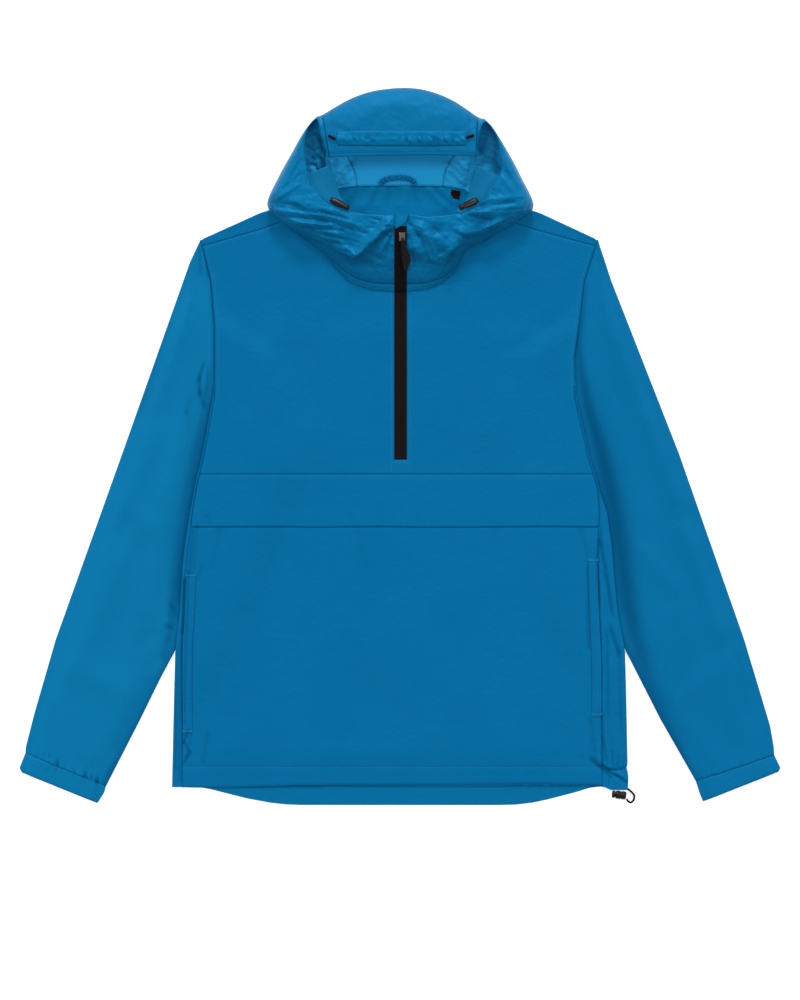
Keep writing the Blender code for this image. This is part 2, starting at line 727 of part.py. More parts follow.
def sleeve(side):
    """One sleeve: a flattened tube from the armhole to the cuff seam, its inner edge hidden."""
    start = armhole_points(side, 4)
    u = shares_of(start)
    v = np.linspace(0, 1, 16)
    edges = SLEEVE_EDGES[side]
    outer = along(edges["outer"], v)
    inner = along(edges["inner"], v)
    outer[0] = start[0]
    inner[0] = start[-1]
    end = outer[-1] + (inner[-1] - outer[-1]) * u[:, None]
    plan = patch(start, end, outer, inner, u, v)
    x, y = plan[..., 0], plan[..., 1]
    to_outer = np.linalg.norm(plan - plan[:, :1], axis=-1)
    to_inner = np.linalg.norm(plan - plan[:, -1:], axis=-1)
    beyond = np.abs(x) - np.abs(look_up(SIDES, "y", side, y)) - 3 * MM
    below_body = y < look_up(SIDES, "y", "y", -421 * MM)
    to_inner = np.minimum(to_inner, np.where(below_body, to_inner, np.maximum(beyond, 0)))
    swell = smooth_step(to_outer / (34 * MM)) * smooth_step(to_inner / (34 * MM))
    ridges = ridge_height(x, y, SLEEVE_RIDGES[side])
    height = EDGE_HEIGHT + swell * (SLEEVE_LOFT + ridges)
    tube("sleeve_" + side, plan, height, "hood_cloth")


def cuff(side):
    """One cuff: a short flattened tube with shallow gathers."""
    u = np.linspace(0, 1, 3 * CUFF_GATHERS + 1)
    v = np.array([0, 0.35, 0.75, 1])
    outline = CUFF_OUTLINES[side]
    outer = along(outline["outer"], v)
    inner = along(outline["inner"], v)
    start = outer[0] + (inner[0] - outer[0]) * u[:, None]
    end = outer[-1] + (inner[-1] - outer[-1]) * u[:, None]
    plan = patch(start, end, outer, inner, u, v)
    round_off = smooth_step(np.minimum(u, 1 - u) / 0.14)
    waves = GATHER_HEIGHT * np.sin(2 * np.pi * CUFF_GATHERS * u)
    depth = np.sin(np.pi * np.clip(v, 0.1, 0.9))
    height = EDGE_HEIGHT + round_off * (CUFF_LOFT + waves * depth[:, None])
    tube("cuff_" + side, plan, height, "hood_cloth", skip=4)


def hood_sections(chart, steps):
    """Outer points of the hood, a section for each station and those between.

    A section leaves the neck seam along the lower layer, turns up at the outer fold and comes
    back over the top to the rim, the turn and the return each a Bezier curve.
    """
    count = len(chart["neck_x"])
    at = np.linspace(0, count - 1, (count - 1) * steps + 1)
    smooth = {key: through(values, at) for key, values in chart.items()}
    for key in ("neck_x", "neck_y", "neck_z", "low"):
        smooth[key] = np.interp(at, np.arange(count), chart[key])
    neck = np.stack([smooth["neck_" + axis] for axis in "xyz"], axis=-1)
    fold = np.stack([smooth["fold_" + axis] for axis in "xyz"], axis=-1)
    rim = np.stack([smooth["rim_" + axis] for axis in "xyz"], axis=-1)
    low = smooth["low"]
    run = fold - neck
    flat = [neck]
    for share in (0.22, 0.6):
        point = neck + share * run
        point[:, 2] = low
        flat.append(point)
    corner = fold.copy()
    corner[:, 2] = low
    lower = []
    for t in np.linspace(0, 1, LOWER_SAMPLES - 1)[1:]:
        lower.append((1 - t) ** 2 * flat[-1] + 2 * t * (1 - t) * corner + t * t * fold)
    crest = rim[:, 2] + smooth["swell"]
    overhang = np.linalg.norm(run[:, :2], axis=-1)
    lean = 0.35 * (1 - smooth_step((overhang - 10 * MM) / (30 * MM)))[:, None]
    above = fold + lean * (rim - fold)
    above[:, 2] = fold[:, 2] + (0.85 - lean[:, 0]) * (crest - fold[:, 2])
    before = rim + 0.45 * (fold - rim)
    before[:, 2] = crest
    upper = []
    for t in np.linspace(0, 1, UPPER_SAMPLES + 1)[1:]:
        upper.append(
            (1 - t) ** 3 * fold
            + 3 * t * (1 - t) ** 2 * above
            + 3 * t * t * (1 - t) * before
            + t**3 * rim
        )
    return np.stack(flat + lower + upper, axis=1)


def creased(grid):
    """Hood points with the folds raised and the troughs sunk in the upper layer."""
    first = 3 + LOWER_SAMPLES - 2
    share = np.zeros(grid.shape[1])
    share[first:] = smooth_step(np.arange(1, grid.shape[1] - first + 1) / 3)
    x, y = grid[..., 0], grid[..., 1]
    rise = ridge_height(x, y, HOOD_RIDGES) - ridge_height(x, y, HOOD_TROUGHS)
    grid = grid.copy()
    grid[..., 2] += rise * share
    return grid


def inner_face(grid, towards):
    """Points one cloth thickness inside a hood grid."""
    inner = grid + towards * CLOTH * unit_normals(grid)
    inner[..., 2] = np.maximum(inner[..., 2], grid[..., 2].min() + 0.5 * CLOTH)
    return inner


def shifted(grid, row, amount):
    """The grid with one row moved along X, which opens the seam there."""
    grid = grid.copy()
    grid[row, :, 0] += amount
    return grid


def hood():
    """Two side panels and a centre panel round the face opening, with the brim tunnel."""
    grids = {}
    for side, towards, seam_gap in (("left", 1, -GAP / 2), ("right", -1, GAP / 2)):
        grid = creased(hood_sections(HOOD_STATIONS[side], STATION_STEPS))
        grids[side] = grid
        outer = shifted(grid, -1, seam_gap)
        inner = shifted(inner_face(grid, towards), -1, seam_gap)
        wall("hood_" + side, outer, inner, "hood_cloth")
    crown = creased(hood_sections(CROWN_STATIONS, STATION_STEPS))
    for row, side, opening in ((0, "left", GAP / 2), (-1, "right", -GAP / 2)):
        crown[row] = grids[side][-1]
        crown = shifted(crown, row, opening)
    inner = inner_face(crown, 1)
    for row, side, towards, opening in ((0, "left", 1, GAP), (-1, "right", -1, -GAP)):
        inner[row] = inner_face(grids[side], towards)[-1]
        inner = shifted(inner, row, opening / 2)
    wall("hood_crown", crown, inner, "hood_cloth")
    return grids, crown


def brim_channel(crown):
    """The drawcord tunnel: a strip of the crown's points near the brim, moved out."""
    strip = crown[1:-1, -4:-1] + np.array([0, 0, GAP + BRIM_CHANNEL_THICKNESS])
    wall("brim_channel", strip, drop(strip, BRIM_CHANNEL_THICKNESS), "hood_cloth")


def facing(side, grid):
    """The smooth band inside the face opening: it drops from the rim and runs inwards."""
    chart = FACINGS[side]
    at = np.arange(FACING_STATIONS[0], FACING_STATIONS[-1] + 0.5, 0.5)
    inner_edge = [np.interp(at, FACING_STATIONS, chart[axis]) for axis in "xyz"]
    inner_edge = np.stack(inner_edge, axis=-1)
    rim = grid[np.round(at * STATION_STEPS).astype(int), -1]
    across_shares = np.linspace(0, 1, 6)
    away = inner_edge - rim
    start = rim + away * (FACING_CLEARANCE / np.linalg.norm(away[:, :2], axis=-1))[:, None]
    start[:, 2] = rim[:, 2] - FACING_THICKNESS
    share = across_shares[None, :, None]
    outer = start[:, None] + share * (inner_edge - start)[:, None]
    drop_by = np.sin(np.pi / 2 * across_shares) ** 0.5
    outer[..., 2] = start[:, 2:] + drop_by * (inner_edge[:, 2:] - start[:, 2:])
    towards = 1 if side == "left" else -1
    inner = outer + towards * FACING_THICKNESS * unit_normals(outer)
    wall("hood_facing_" + side, outer, inner, "hood_cloth")


def zip_height(y, collar):
    """Height of the cloth's outer face beside the zip, from the chest up the collar."""
    chest = front_height(np.full(np.shape(y), ZIP_LEFT), y)
    return np.where(y < collar[0, 1], chest, np.interp(y, collar[:, 1], collar[:, 2]))


def zip_tape(collar):
    """The zip's tape, which fills the slot and follows the collar."""
    stations = np.array([-15.6, 10, 35, 59.5, 80.6, 111.6, 152, 184, 190, 194, 198])
    y = np.concatenate([stations * MM, np.linspace(203 * MM, ZIP_TOP, 8)])
    x = np.array([ZIP_LEFT + 0.4 * MM, (ZIP_LEFT + ZIP_RIGHT) / 2, ZIP_RIGHT - 0.4 * MM])
    z = zip_height(y, collar) - TAPE_SUNK
    outer = np.stack(np.broadcast_arrays(x[None, :], y[:, None], z[:, None]), axis=-1)
    wall("zip_tape", outer, drop(outer, TAPE_THICKNESS), "tape_black")


def extruded(name, outline, height, bevel, material_name):
    """A plan outline given a height, with rounded edges, standing on z 0."""
    shape = bmesh.new()
    floor = shape.faces.new([shape.verts.new((x, y, 0)) for x, y in outline])
    raised = bmesh.ops.extrude_face_region(shape, geom=[floor])["geom"]
    top = [v for v in raised if isinstance(v, bmesh.types.BMVert)]
    bmesh.ops.translate(shape, verts=top, vec=(0, 0, height))
    bmesh.ops.bevel(
        shape, geom=shape.edges[:], offset=bevel, segments=2, profile=0.5,
        affect="EDGES", clamp_overlap=True,
    )
    return add_object(name, shape, material_name)


def box_outline(width, length):
    """The corners of a rectangle round the origin."""
    return [(-width / 2, -length / 2), (width / 2, -length / 2),
            (width / 2, length / 2), (-width / 2, length / 2)]


def slope_between(y_low, y_high, collar):
    """Angle of the zip's line between two heights up the garment."""
    rise = zip_height(np.array([y_low, y_high]), collar)
    return np.arctan2(rise[1] - rise[0], y_high - y_low)


def zip_slider_and_pull(collar):
    """The slider on the tape and the moulded pull that hangs from its bail, lying down."""
    width, length, height = SLIDER_SIZE
    middle_y = SLIDER_PLACE[1]
    angle = slope_between(middle_y - length / 2, middle_y + length / 2, collar)
    slider = extruded("zip_slider", box_outline(width, length), height, 0.8 * MM, "slider_metal")
    seat = zip_height(np.array(middle_y), collar) + SLIDER_SEAT
    slider.location = (SLIDER_PLACE[0], middle_y, seat)
    slider.rotation_euler = (angle, 0, 0)
    hinge_y = PULL_HINGE[1]
    reach = PULL_OUTLINE["along"]
    hinge_z = PULL_HINGE[2]
    probe = np.linspace(8 * MM, reach[-1], 24)
    needed = zip_height(hinge_y - probe, collar) + PULL_CLEARANCE + PULL_THICKNESS / 2
    slope = np.min((hinge_z - needed) / probe)
    outline = [(x, -y) for x, y in zip(PULL_OUTLINE["left"], reach)]
    outline += [(x, -y) for x, y in zip(PULL_OUTLINE["right"][::-1], reach[::-1])]
    pull = extruded("zip_pull", outline[::-1], PULL_THICKNESS, 0.7 * MM, "trim_black")
    for vertex in pull.data.vertices:
        vertex.co.z -= PULL_THICKNESS / 2
    pull.location = PULL_HINGE
    pull.rotation_euler = (np.arctan(slope), 0, 0)


def zip_garage(collar):
    """The small flap of cloth over the top of the zip."""
    corners = {key: np.array(value) * MM for key, value in GARAGE_CORNERS.items()}
    u = np.linspace(0, 1, 5)
    v = np.linspace(0, 1, 5)
    left = corners["top_left"] + v[:, None] * (corners["low_left"] - corners["top_left"])
    right = corners["top_right"] + v[:, None] * (corners["low_right"] - corners["top_right"])
    plan = left[:, None] + u[None, :, None] * (right - left)[:, None]
    z = zip_height(plan[..., 1], collar) + GARAGE_SEAT + CLOTH
    outer = np.concatenate([plan, z[..., None]], axis=-1)
    wall("zip_garage", outer, drop(outer, CLOTH), "hood_cloth")


def hanger_loop():
    """The gathered loop on the back neck seam, an arch of narrow tape."""
    spine = np.array(LOOP_SPINE) * MM
    direction = np.gradient(spine, axis=0)
    side = np.stack([-direction[:, 1], direction[:, 0]], axis=-1)
    side /= np.linalg.norm(side, axis=-1, keepdims=True)
    plan = spine[:, None] + side[:, None] * (LOOP_WIDTH * np.array([-0.5, 0.5]))[None, :, None]
    share = np.linspace(0, 1, len(spine))
    z = LOOP_SEAT + CLOTH + 2.5 * MM * np.sin(np.pi * share)
    z = np.repeat(z[:, None], 2, axis=1)
    outer = np.concatenate([plan, z[..., None]], axis=-1)
    wall("hanger_loop", outer, drop(outer, CLOTH), "hood_cloth")


def size_label():
    """The small bare label sewn below the back neck seam."""
    outline = box_outline(*LABEL_SIZE)
    label = extruded("size_label", outline, LABEL_THICKNESS, 0.2 * MM, "tape_black")
    label.location = (*LABEL_PLACE, CLOTH + GAP)
    label.rotation_euler = (0, 0, np.radians(-12))


def turned(name, profile, sides, material_name):
    """A body of revolution along X from (along, radius) rows, closed at both ends."""
    shape = bmesh.new()
    angles = np.linspace(0, 2 * np.pi, sides, endpoint=False)
    rings = []
    for along_x, radius in profile:
        ring = [
            shape.verts.new((along_x, radius * np.cos(a), radius * np.sin(a))) for a in angles
        ]
        rings.append(ring)
    for ring, following in zip(rings, rings[1:]):
        for k in range(sides):
            after = (k + 1) % sides
            shape.faces.new([ring[k], ring[after], following[after], following[k]])
    shape.faces.new(rings[0][::-1])
    shape.faces.new(rings[-1])
    return add_object(name, shape, material_name)


def hood_toggles():
    """A barrel cord lock at each end of the face opening's drawcord."""
    half = TOGGLE_LENGTH / 2
    radius = TOGGLE_RADIUS
    profile = [
        (-half, 0.55 * radius),
        (-half + 1.2 * MM, 0.92 * radius),
        (-half + 4 * MM, radius),
        (half - 9 * MM, radius),
        (half - 7.5 * MM, 0.8 * radius),
        (half - 2.0 * MM, 0.85 * radius),
        (half, 0.5 * radius),
    ]
    for side, place in TOGGLE_PLACES.items():
        toggle = turned("hood_toggle_" + side, profile, 10, "toggle_bronze")
        toggle.location = np.array(place[:3]) * MM
        toggle.rotation_euler = (0, 0, np.radians(place[3]))


def hood_cords():
    """The short ends of cord that show between the brim tunnel and the eyelets."""
    for side, (start, end) in HOOD_CORDS.items():
        start = np.array(start) * MM
        end = np.array(end) * MM
        run = end - start
        half = np.linalg.norm(run) / 2
        radius = HOOD_CORD_DIAMETER / 2
        profile = [(-half, 0.7 * radius), (-half + 0.6 * MM, radius),
                   (half - 0.6 * MM, radius), (half, 0.7 * radius)]
        cord = turned("hood_cord_" + side, profile, 8, "tape_black")
        cord.location = (start + end) / 2
        cord.rotation_euler = (0, 0, np.arctan2(run[1], run[0]))


def cord_lock():
    """The cord lock at the hem's right corner, lying on the floor."""
    length, width, height = CORD_LOCK_SIZE
    lock = extruded("hem_cord_lock", box_outline(length, width), height, 2.2 * MM, "trim_black")
    lock.location = (*CORD_LOCK_PLACE, 0)
    lock.rotation_euler = (0, 0, np.radians(-7))


def hem_cord_loop():
    """The loop of elastic cord from the hem channel to the cord lock, along a smooth curve."""
    stations = np.linspace(0, len(HEM_CORD_ROUTE) - 1, 13)
    route = through(np.array(HEM_CORD_ROUTE) * MM, stations)
    curve = bpy.data.curves.new("hem_cord_loop", "CURVE")
    curve.dimensions = "3D"
    curve.bevel_depth = HEM_CORD_DIAMETER / 2
    curve.bevel_resolution = 2
    curve.use_fill_caps = True
    spline = curve.splines.new("POLY")
    spline.points.add(len(route) - 1)
    for point, place in zip(spline.points, route):
        point.co = (*place, 1)
    curve.materials.append(finish("tape_black"))
    part = bpy.data.objects.new("hem_cord_loop", curve)
    bpy.context.scene.collection.objects.link(part)


def clear_scene():
    """Removes whatever the scene holds."""
    for old in list(bpy.data.objects):
        bpy.data.objects.remove(old)


def main():
    clear_scene()
    back_panel()
    lower_front()
    upper_front()
    for side in ("left", "right"):
        sleeve(side)
        cuff(side)
    grids, crown = hood()
    brim_channel(crown)
    for side in ("left", "right"):
        facing(side, grids[side])
    collar = grids["left"][0]
    collar = collar[np.argsort(collar[:, 1])]
    zip_tape(collar)
    zip_slider_and_pull(collar)
    zip_garage(collar)
    hanger_loop()
    size_label()
    hood_toggles()
    hood_cords()
    cord_lock()
    hem_cord_loop()


main()
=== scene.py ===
# %% [markdown]
# # An anorak pullover, laid flat
# The garment is cut from thin plain-woven nylon. Each sewn panel is a surface of two parameters,
# worked out with numpy as whole arrays and given the thickness of a doubled seam. The rigid
# model that the looks are built around says where every panel lies; this script adds what a
# rigid model leaves out: wrinkles, puckered seams, topstitching, weave and sheen.

import bmesh
import bpy
import numpy as np
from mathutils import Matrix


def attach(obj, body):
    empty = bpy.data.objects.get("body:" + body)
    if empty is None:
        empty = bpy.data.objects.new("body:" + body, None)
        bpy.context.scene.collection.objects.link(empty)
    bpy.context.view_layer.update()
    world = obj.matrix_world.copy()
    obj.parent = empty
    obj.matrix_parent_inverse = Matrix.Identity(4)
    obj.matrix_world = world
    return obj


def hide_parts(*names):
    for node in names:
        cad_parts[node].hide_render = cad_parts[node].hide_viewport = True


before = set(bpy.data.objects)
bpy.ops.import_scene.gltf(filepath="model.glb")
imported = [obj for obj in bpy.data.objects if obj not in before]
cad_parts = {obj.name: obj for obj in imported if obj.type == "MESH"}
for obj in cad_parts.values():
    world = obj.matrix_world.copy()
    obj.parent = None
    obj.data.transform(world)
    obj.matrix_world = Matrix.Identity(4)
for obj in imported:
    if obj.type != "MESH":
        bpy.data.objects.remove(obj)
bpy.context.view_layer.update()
MM = 0.001
print("solids in the frame:", len(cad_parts))

# %% [markdown]
# ## Camera, floor and light
# A long lens five metres up looks straight down, so that hood and hem keep one scale. A matt
# white sheet is the floor. Wide soft suns stand in for softboxes: unlike area lamps they light a
# metre of cloth evenly, and the one from beyond the hood is the strongest, so each fold has its
# shadow below it.

# %% Camera, floor and light
VIEW_CENTRE_Y = -65.7 * MM
VIEW_HEIGHT = 1.24
CAMERA_HEIGHT = 5.0
SENSOR = 24.0


def add_object(name, data):
    """A new object at the origin, linked to the scene."""
    made = bpy.data.objects.new(name, data)
    bpy.context.scene.collection.objects.link(made)
    return made


def add_camera():
    """A long lens straight above the middle of the view, whose height sets its focal length."""
    lens = bpy.data.cameras.new("long_lens")
    lens.sensor_fit = "VERTICAL"
    lens.sensor_height = SENSOR
    lens.lens = SENSOR * CAMERA_HEIGHT / VIEW_HEIGHT
    camera = add_object("camera", lens)
    camera.location = (0, VIEW_CENTRE_Y, CAMERA_HEIGHT)
    bpy.context.scene.camera = camera
    print("focal length in mm:", round(lens.lens, 1))


def add_sun(name, turn, strength, softness, casts_shadow=True):
    """A distant lamp: turn tilts it about X and Y in degrees, softness is its width in degrees."""
    lamp = bpy.data.lights.new(name, "SUN")
    lamp.use_shadow = casts_shadow
    lamp.energy = strength
    lamp.angle = np.radians(softness)
    add_object(name, lamp).rotation_euler = (np.radians(turn[0]), np.radians(turn[1]), 0)


def add_room_light(strength):
    """An even white surround, for the light that the walls of a studio throw back."""
    world = bpy.data.worlds.new("studio")
    world.use_nodes = True
    background = world.node_tree.nodes["Background"]
    background.inputs["Color"].default_value = (1, 1, 1, 1)
    background.inputs["Strength"].default_value = strength
    bpy.context.scene.world = world


add_camera()
add_sun("softbox_top", (-56, 0), 1.30, 12)
add_sun("softbox_fill", (-56, 0), 1.20, 12, casts_shadow=False)
add_sun("softbox_left", (-12, -42), 0.66, 18)
add_sun("softbox_right", (-12, 42), 0.52, 18)
add_room_light(0.42)
bpy.context.scene.view_settings.view_transform = "Standard"

# %% [markdown]
# ## Small tools for shapes
# Every panel is described by a few rows of numbers in millimetres, read as named columns.
# A smooth curve through such rows gives any point between them, and wrinkles are sums of soft
# ridges and troughs along short lines, which is how cloth shows the folds it has been packed in.

# %% Tables, curves and fading edges
# Columns of a crease and of a bent fold: line or points, half width, height, and dark, how much
# painted shade it gives.
CREASE = "x0 y0 x1 y1 width height dark"
BENT_FOLD = "x y width height dark"
NOISE_CELLS = 64
NOISE_START = (100.37, 100.71)  # keeps the lattice's own corners away from the garment's


def chart(names, rows):
    """The columns of a table by name: lengths in metres, and dark as it stands.

    A row may leave out its last columns, which are 0 then.
    """
    names = names.split()
    columns = np.array([row + (0,) * (len(names) - len(row)) for row in rows], float).T
    return {name: column if name == "dark" else column * MM
            for name, column in zip(names, columns)}


def pair(names, left, right):
    """One table for each side of the garment."""
    return {"left": chart(names, left), "right": chart(names, right)}


def look_up(rows, key, name, at):
    """Straight interpolation of one column at positions of another."""
    return np.interp(at, rows[key], rows[name])


def smooth_step(share):
    """0 below 0, 1 above 1 and an S-curve, 3 t squared less 2 t cubed, between."""
    t = np.clip(share, 0, 1)
    return t * t * (3 - 2 * t)


def ease(length, reach):
    """The S-curve of a length over a reach in millimetres: 0 at none and 1 from the reach on."""
    return smooth_step(length / (reach * MM))


def fading(away, amount, width=1.1):
    """What a line or an edge does to the cloth near it, over a width in millimetres.

    It is the amount times exp of minus the squared share of the width.
    """
    return amount * np.exp(-((away / (width * MM)) ** 2))


def distance(points, others):
    """How far each point lies from its partner."""
    return np.linalg.norm(points - others, axis=-1)


def grid_of(x, y, z):
    """A grid of points from the arrays of its coordinates."""
    return np.stack(np.broadcast_arrays(x, y, z), axis=-1)


def through(values, at):
    """A Hermite curve through rows of values, read at row positions such as 2.5."""
    values = np.asarray(values, float)
    slopes = np.gradient(values, axis=0)
    row = np.clip(np.floor(at).astype(int), 0, len(values) - 2)
    t = (np.asarray(at) - row).reshape((-1,) + (1,) * (values.ndim - 1))
    start = (1 + 2 * t) * (1 - t) ** 2 * values[row] + t * (1 - t) ** 2 * slopes[row]
    end = t * t * (3 - 2 * t) * values[row + 1] + t * t * (t - 1) * slopes[row + 1]
    return start + end


# %% Folds beside lines


def beside_line(x, y, start, end):
    """A line's direction, the share along it nearest to x and y, and the offsets from there."""
    start = np.array(start)
    run = np.array(end) - start
    share = np.clip(((x - start[0]) * run[0] + (y - start[1]) * run[1]) / (run @ run), 0, 1)
    return run, share, x - start[0] - share * run[0], y - start[1] - share * run[1]


def crease_field(x, y, creases, column="height"):
    """Sum of soft ridges: each is its height times exp of minus the squared share of its width."""
    total = np.zeros(np.broadcast(x, y).shape)
    rows = zip(*(creases[name] for name in ("x0", "y0", "x1", "y1", "width", column)))
    for x0, y0, x1, y1, width, height in rows:
        off = beside_line(x, y, (x0, y0), (x1, y1))[2:]
        total = total + height * np.exp(-((np.hypot(*off) / width) ** 2))
    return total


def beside_path(x, y, path):
    """For each stretch of a bent line: its direction, the offsets from it and its columns."""
    for k in range(len(path["x"]) - 1):
        start, end = ((path["x"][j], path["y"][j]) for j in (k, k + 1))
        run, share, *off = beside_line(x, y, start, end)
        yield run, off, {name: path[name][k] * (1 - share) + path[name][k + 1] * share
                         for name in ("width", "height", "dark")}


def path_field(x, y, path, column="height"):
    """One fold along a bent line whose width and height change from point to point.

    It is the column's value at the nearest point times exp of minus the squared share of the
    width there.
    """
    best = np.full(np.broadcast(x, y).shape, np.inf)
    value = np.zeros(best.shape)
    for _, off, here in beside_path(x, y, path):
        away = np.hypot(*off) / here["width"]
        value = np.where(away < best, here[column], value)
        best = np.minimum(best, away)
    return value * np.exp(-(best**2))


def ledge(x, y, path, sharp=1.3 * MM):
    """A fold that lies over on one side of a bent line: its height and its painted shadow.

    On the left of the line the height falls away as exp of minus distance over width; on the
    right, past a step as short as sharp, the cloth is low and in the fold's shadow.
    """
    best = np.full(np.broadcast(x, y).shape, np.inf)
    found = {name: np.zeros(best.shape) for name in ("signed", "width", "height", "dark")}
    for run, off, here in beside_path(x, y, path):
        away = np.hypot(*off)
        here["signed"] = np.where(run[0] * off[1] - run[1] * off[0] >= 0, away, -away)
        found = {name: np.where(away < best, here[name], found[name]) for name in found}
        best = np.minimum(best, away)
    signed, width = found["signed"], np.maximum(found["width"], MM)
    step = smooth_step(signed / sharp + 0.5)
    raised = found["height"] * step * np.exp(-np.maximum(signed, 0) / width)
    shadow = found["dark"] * (1 - step) * np.exp(-np.maximum(-signed, 0) / (0.45 * width))
    return raised, shadow


# %% Noise


def noise(x, y, size_x, size_y, seed, turn=0.0):
    """Smooth noise between -1 and 1: random heights on a lattice, blended with S-curves.

    The lattice cells are size_x by size_y millimetres and turned by an angle in degrees.
    """
    heights = np.random.RandomState(seed).uniform(-1, 1, (NOISE_CELLS, NOISE_CELLS))
    c, s = np.cos(np.radians(turn)), np.sin(np.radians(turn))
    u = (x * c + y * s) / (size_x * MM) + NOISE_START[0]
    v = (y * c - x * s) / (size_y * MM) + NOISE_START[1]
    i, j = np.floor(u).astype(int), np.floor(v).astype(int)
    s, t = smooth_step(u - i), smooth_step(v - j)
    i, j, i_next, j_next = (cell % NOISE_CELLS for cell in (i, j, i + 1, j + 1))
    low = heights[i, j] * (1 - s) + heights[i_next, j] * s
    high = heights[i, j_next] * (1 - s) + heights[i_next, j_next] * s
    return low * (1 - t) + high * t


def crinkle(x, y, size_x, size_y, seed, turn=0.0):
    """Sharp ridges between soft hollows: 0.4 less the size of the noise, which bends at zero."""
    return 0.4 - np.abs(noise(x, y, size_x, size_y, seed, turn))


# %% Grids


def close_at_ends(count, near=(0.6, 1.6, 3.2), length=230.0):
    """Shares from 0 to 1, even in the middle and a few close together at both ends."""
    near = np.array(near) / length
    return np.unique(np.concatenate([np.linspace(0, 1, count), near, 1 - near]))


def unit_normals(grid):
    """Unit vectors across a grid: the cross product of its two directions, made of length 1."""
    normal = np.cross(np.gradient(grid, axis=0), np.gradient(grid, axis=1))
    size = np.linalg.norm(normal, axis=-1, keepdims=True)
    return normal / np.maximum(size, 1e-12)


def lengths_along(grid):
    """Distance walked over the grid along its rows and along its columns, for the weave."""
    u = np.linalg.norm(np.diff(grid, axis=1, prepend=grid[:, :1]), axis=-1).cumsum(axis=1)
    v = np.linalg.norm(np.diff(grid, axis=0, prepend=grid[:1]), axis=-1).cumsum(axis=0)
    return np.stack([u, v], axis=-1)


# %% [markdown]
# ## From a grid of points to a closed piece of cloth
# A panel could be a plane with Solidify, but its cut edge would then stand square to the floor.
# Here both faces are grids with the same rows and columns, the inner one moved in along the
# surface's normals, and each open border gets a strip. The distances walked over the surface
# become the UV map, in metres, so that the weave keeps its scale on every fold. Two vertex
# attributes go with it: shade holds painted shade, how dark a point is painted for the crease,
# seam, fold or edge beside it, and inside tells the two faces of the cloth apart.

# %% Cloth pieces


def new_object(name, mesh, material):
    """An object for a mesh, with one material."""
    mesh.materials.append(material)
    return add_object(name, mesh)


def turn_outwards(mesh, fill=0):
    """Turns the faces of a closed mesh outwards, after holes of up to fill sides are filled."""
    shape = bmesh.new()
    shape.from_mesh(mesh)
    if fill:
        bmesh.ops.holes_fill(shape, edges=shape.edges[:], sides=fill)
    bmesh.ops.recalc_face_normals(shape, faces=shape.faces)
    shape.to_mesh(mesh)
    shape.free()


def mesh_from(name, points, quads, uv=None, **values):
    """A smooth-shaded mesh from whole arrays, with a UV pair and named values per point."""
    mesh = bpy.data.meshes.new(name)
    mesh.from_pydata(points.tolist(), [], quads.tolist())
    if uv is not None:
        layer = mesh.uv_layers.new(name="cloth")
        corner = np.zeros(len(mesh.loops), int)
        mesh.loops.foreach_get("vertex_index", corner)
        layer.data.foreach_set("uv", uv[corner].astype(np.float32).ravel())
    for key, numbers in values.items():
        attribute = mesh.attributes.new(key, "FLOAT", "POINT")
        attribute.data.foreach_set("value", numbers.astype(np.float32))
    turn_outwards(mesh)
    mesh.shade_smooth()
    return mesh


def cloth(name, outer, thickness, material, shade=None, around=False, kept=None, towards=1):
    """A closed shell: outer is a grid of rows by columns of points, thickness its wall.

    towards is 1 or -1 and says on which side of the grid's normals the inner face lies. kept
    marks the cells that exist, and around joins the last column to the first.
    """
    rows, columns = outer.shape[:2]
    count = rows * columns
    index = np.arange(count).reshape(rows, columns)
    if around:
        index = np.concatenate([index, index[:, :1]], axis=1)
        wrapped = np.concatenate([outer[:, -1:], outer, outer[:, :1]], axis=1)
        normals = unit_normals(wrapped)[:, 1:-1]
    else:
        normals = unit_normals(outer)
    inner = outer + towards * thickness * normals
    corners = (index[:-1, :-1], index[:-1, 1:], index[1:, 1:], index[1:, :-1])
    quads = np.stack(corners, axis=-1).reshape(-1, 4)
    if kept is not None:
        quads = quads[kept.ravel()]
    edges = np.concatenate([quads[:, [k, (k + 1) % 4]] for k in range(4)])
    paired = np.isin(edges[:, 0] * count + edges[:, 1], edges[:, 1] * count + edges[:, 0])
    start, end = edges[~paired].T
    strip = np.stack([end, start, start + count, end + count], axis=1)
    faces = np.concatenate([quads, quads[:, ::-1] + count, strip])
    used, faces = np.unique(faces, return_inverse=True)
    points = np.concatenate([outer.reshape(-1, 3), inner.reshape(-1, 3)])[used]
    uv = np.tile(lengths_along(outer).reshape(-1, 2), (2, 1))[used]
    # The painted shade of each point, from 0 to 1.
    dark = np.zeros((rows, columns)) if shade is None else np.clip(shade, 0, 1)
    dark = np.concatenate([dark.ravel(), dark.ravel()])[used]
    inside = np.repeat([0.0, 1.0], count)[used]
    faces = faces.reshape(-1, 4)
    mesh = mesh_from(name, points, faces, uv, shade=dark, inside=inside)
    piece = new_object(name, mesh, material)
    area = np.zeros(len(mesh.polygons))
    mesh.polygons.foreach_get("area", area)
    print(f"{name}: {2 * len(area)} triangles, {area.sum() / 2:.4f} square metres of cloth")
    return piece


# %% [markdown]
# ## Shader expressions
# A material is easier to read as arithmetic than as a list of links. The class below wraps one
# socket, and its operators add the Math nodes; everything else comes from one method that takes
# the node's type, its settings and the values of its sockets.

# %% A socket that can be used in sums


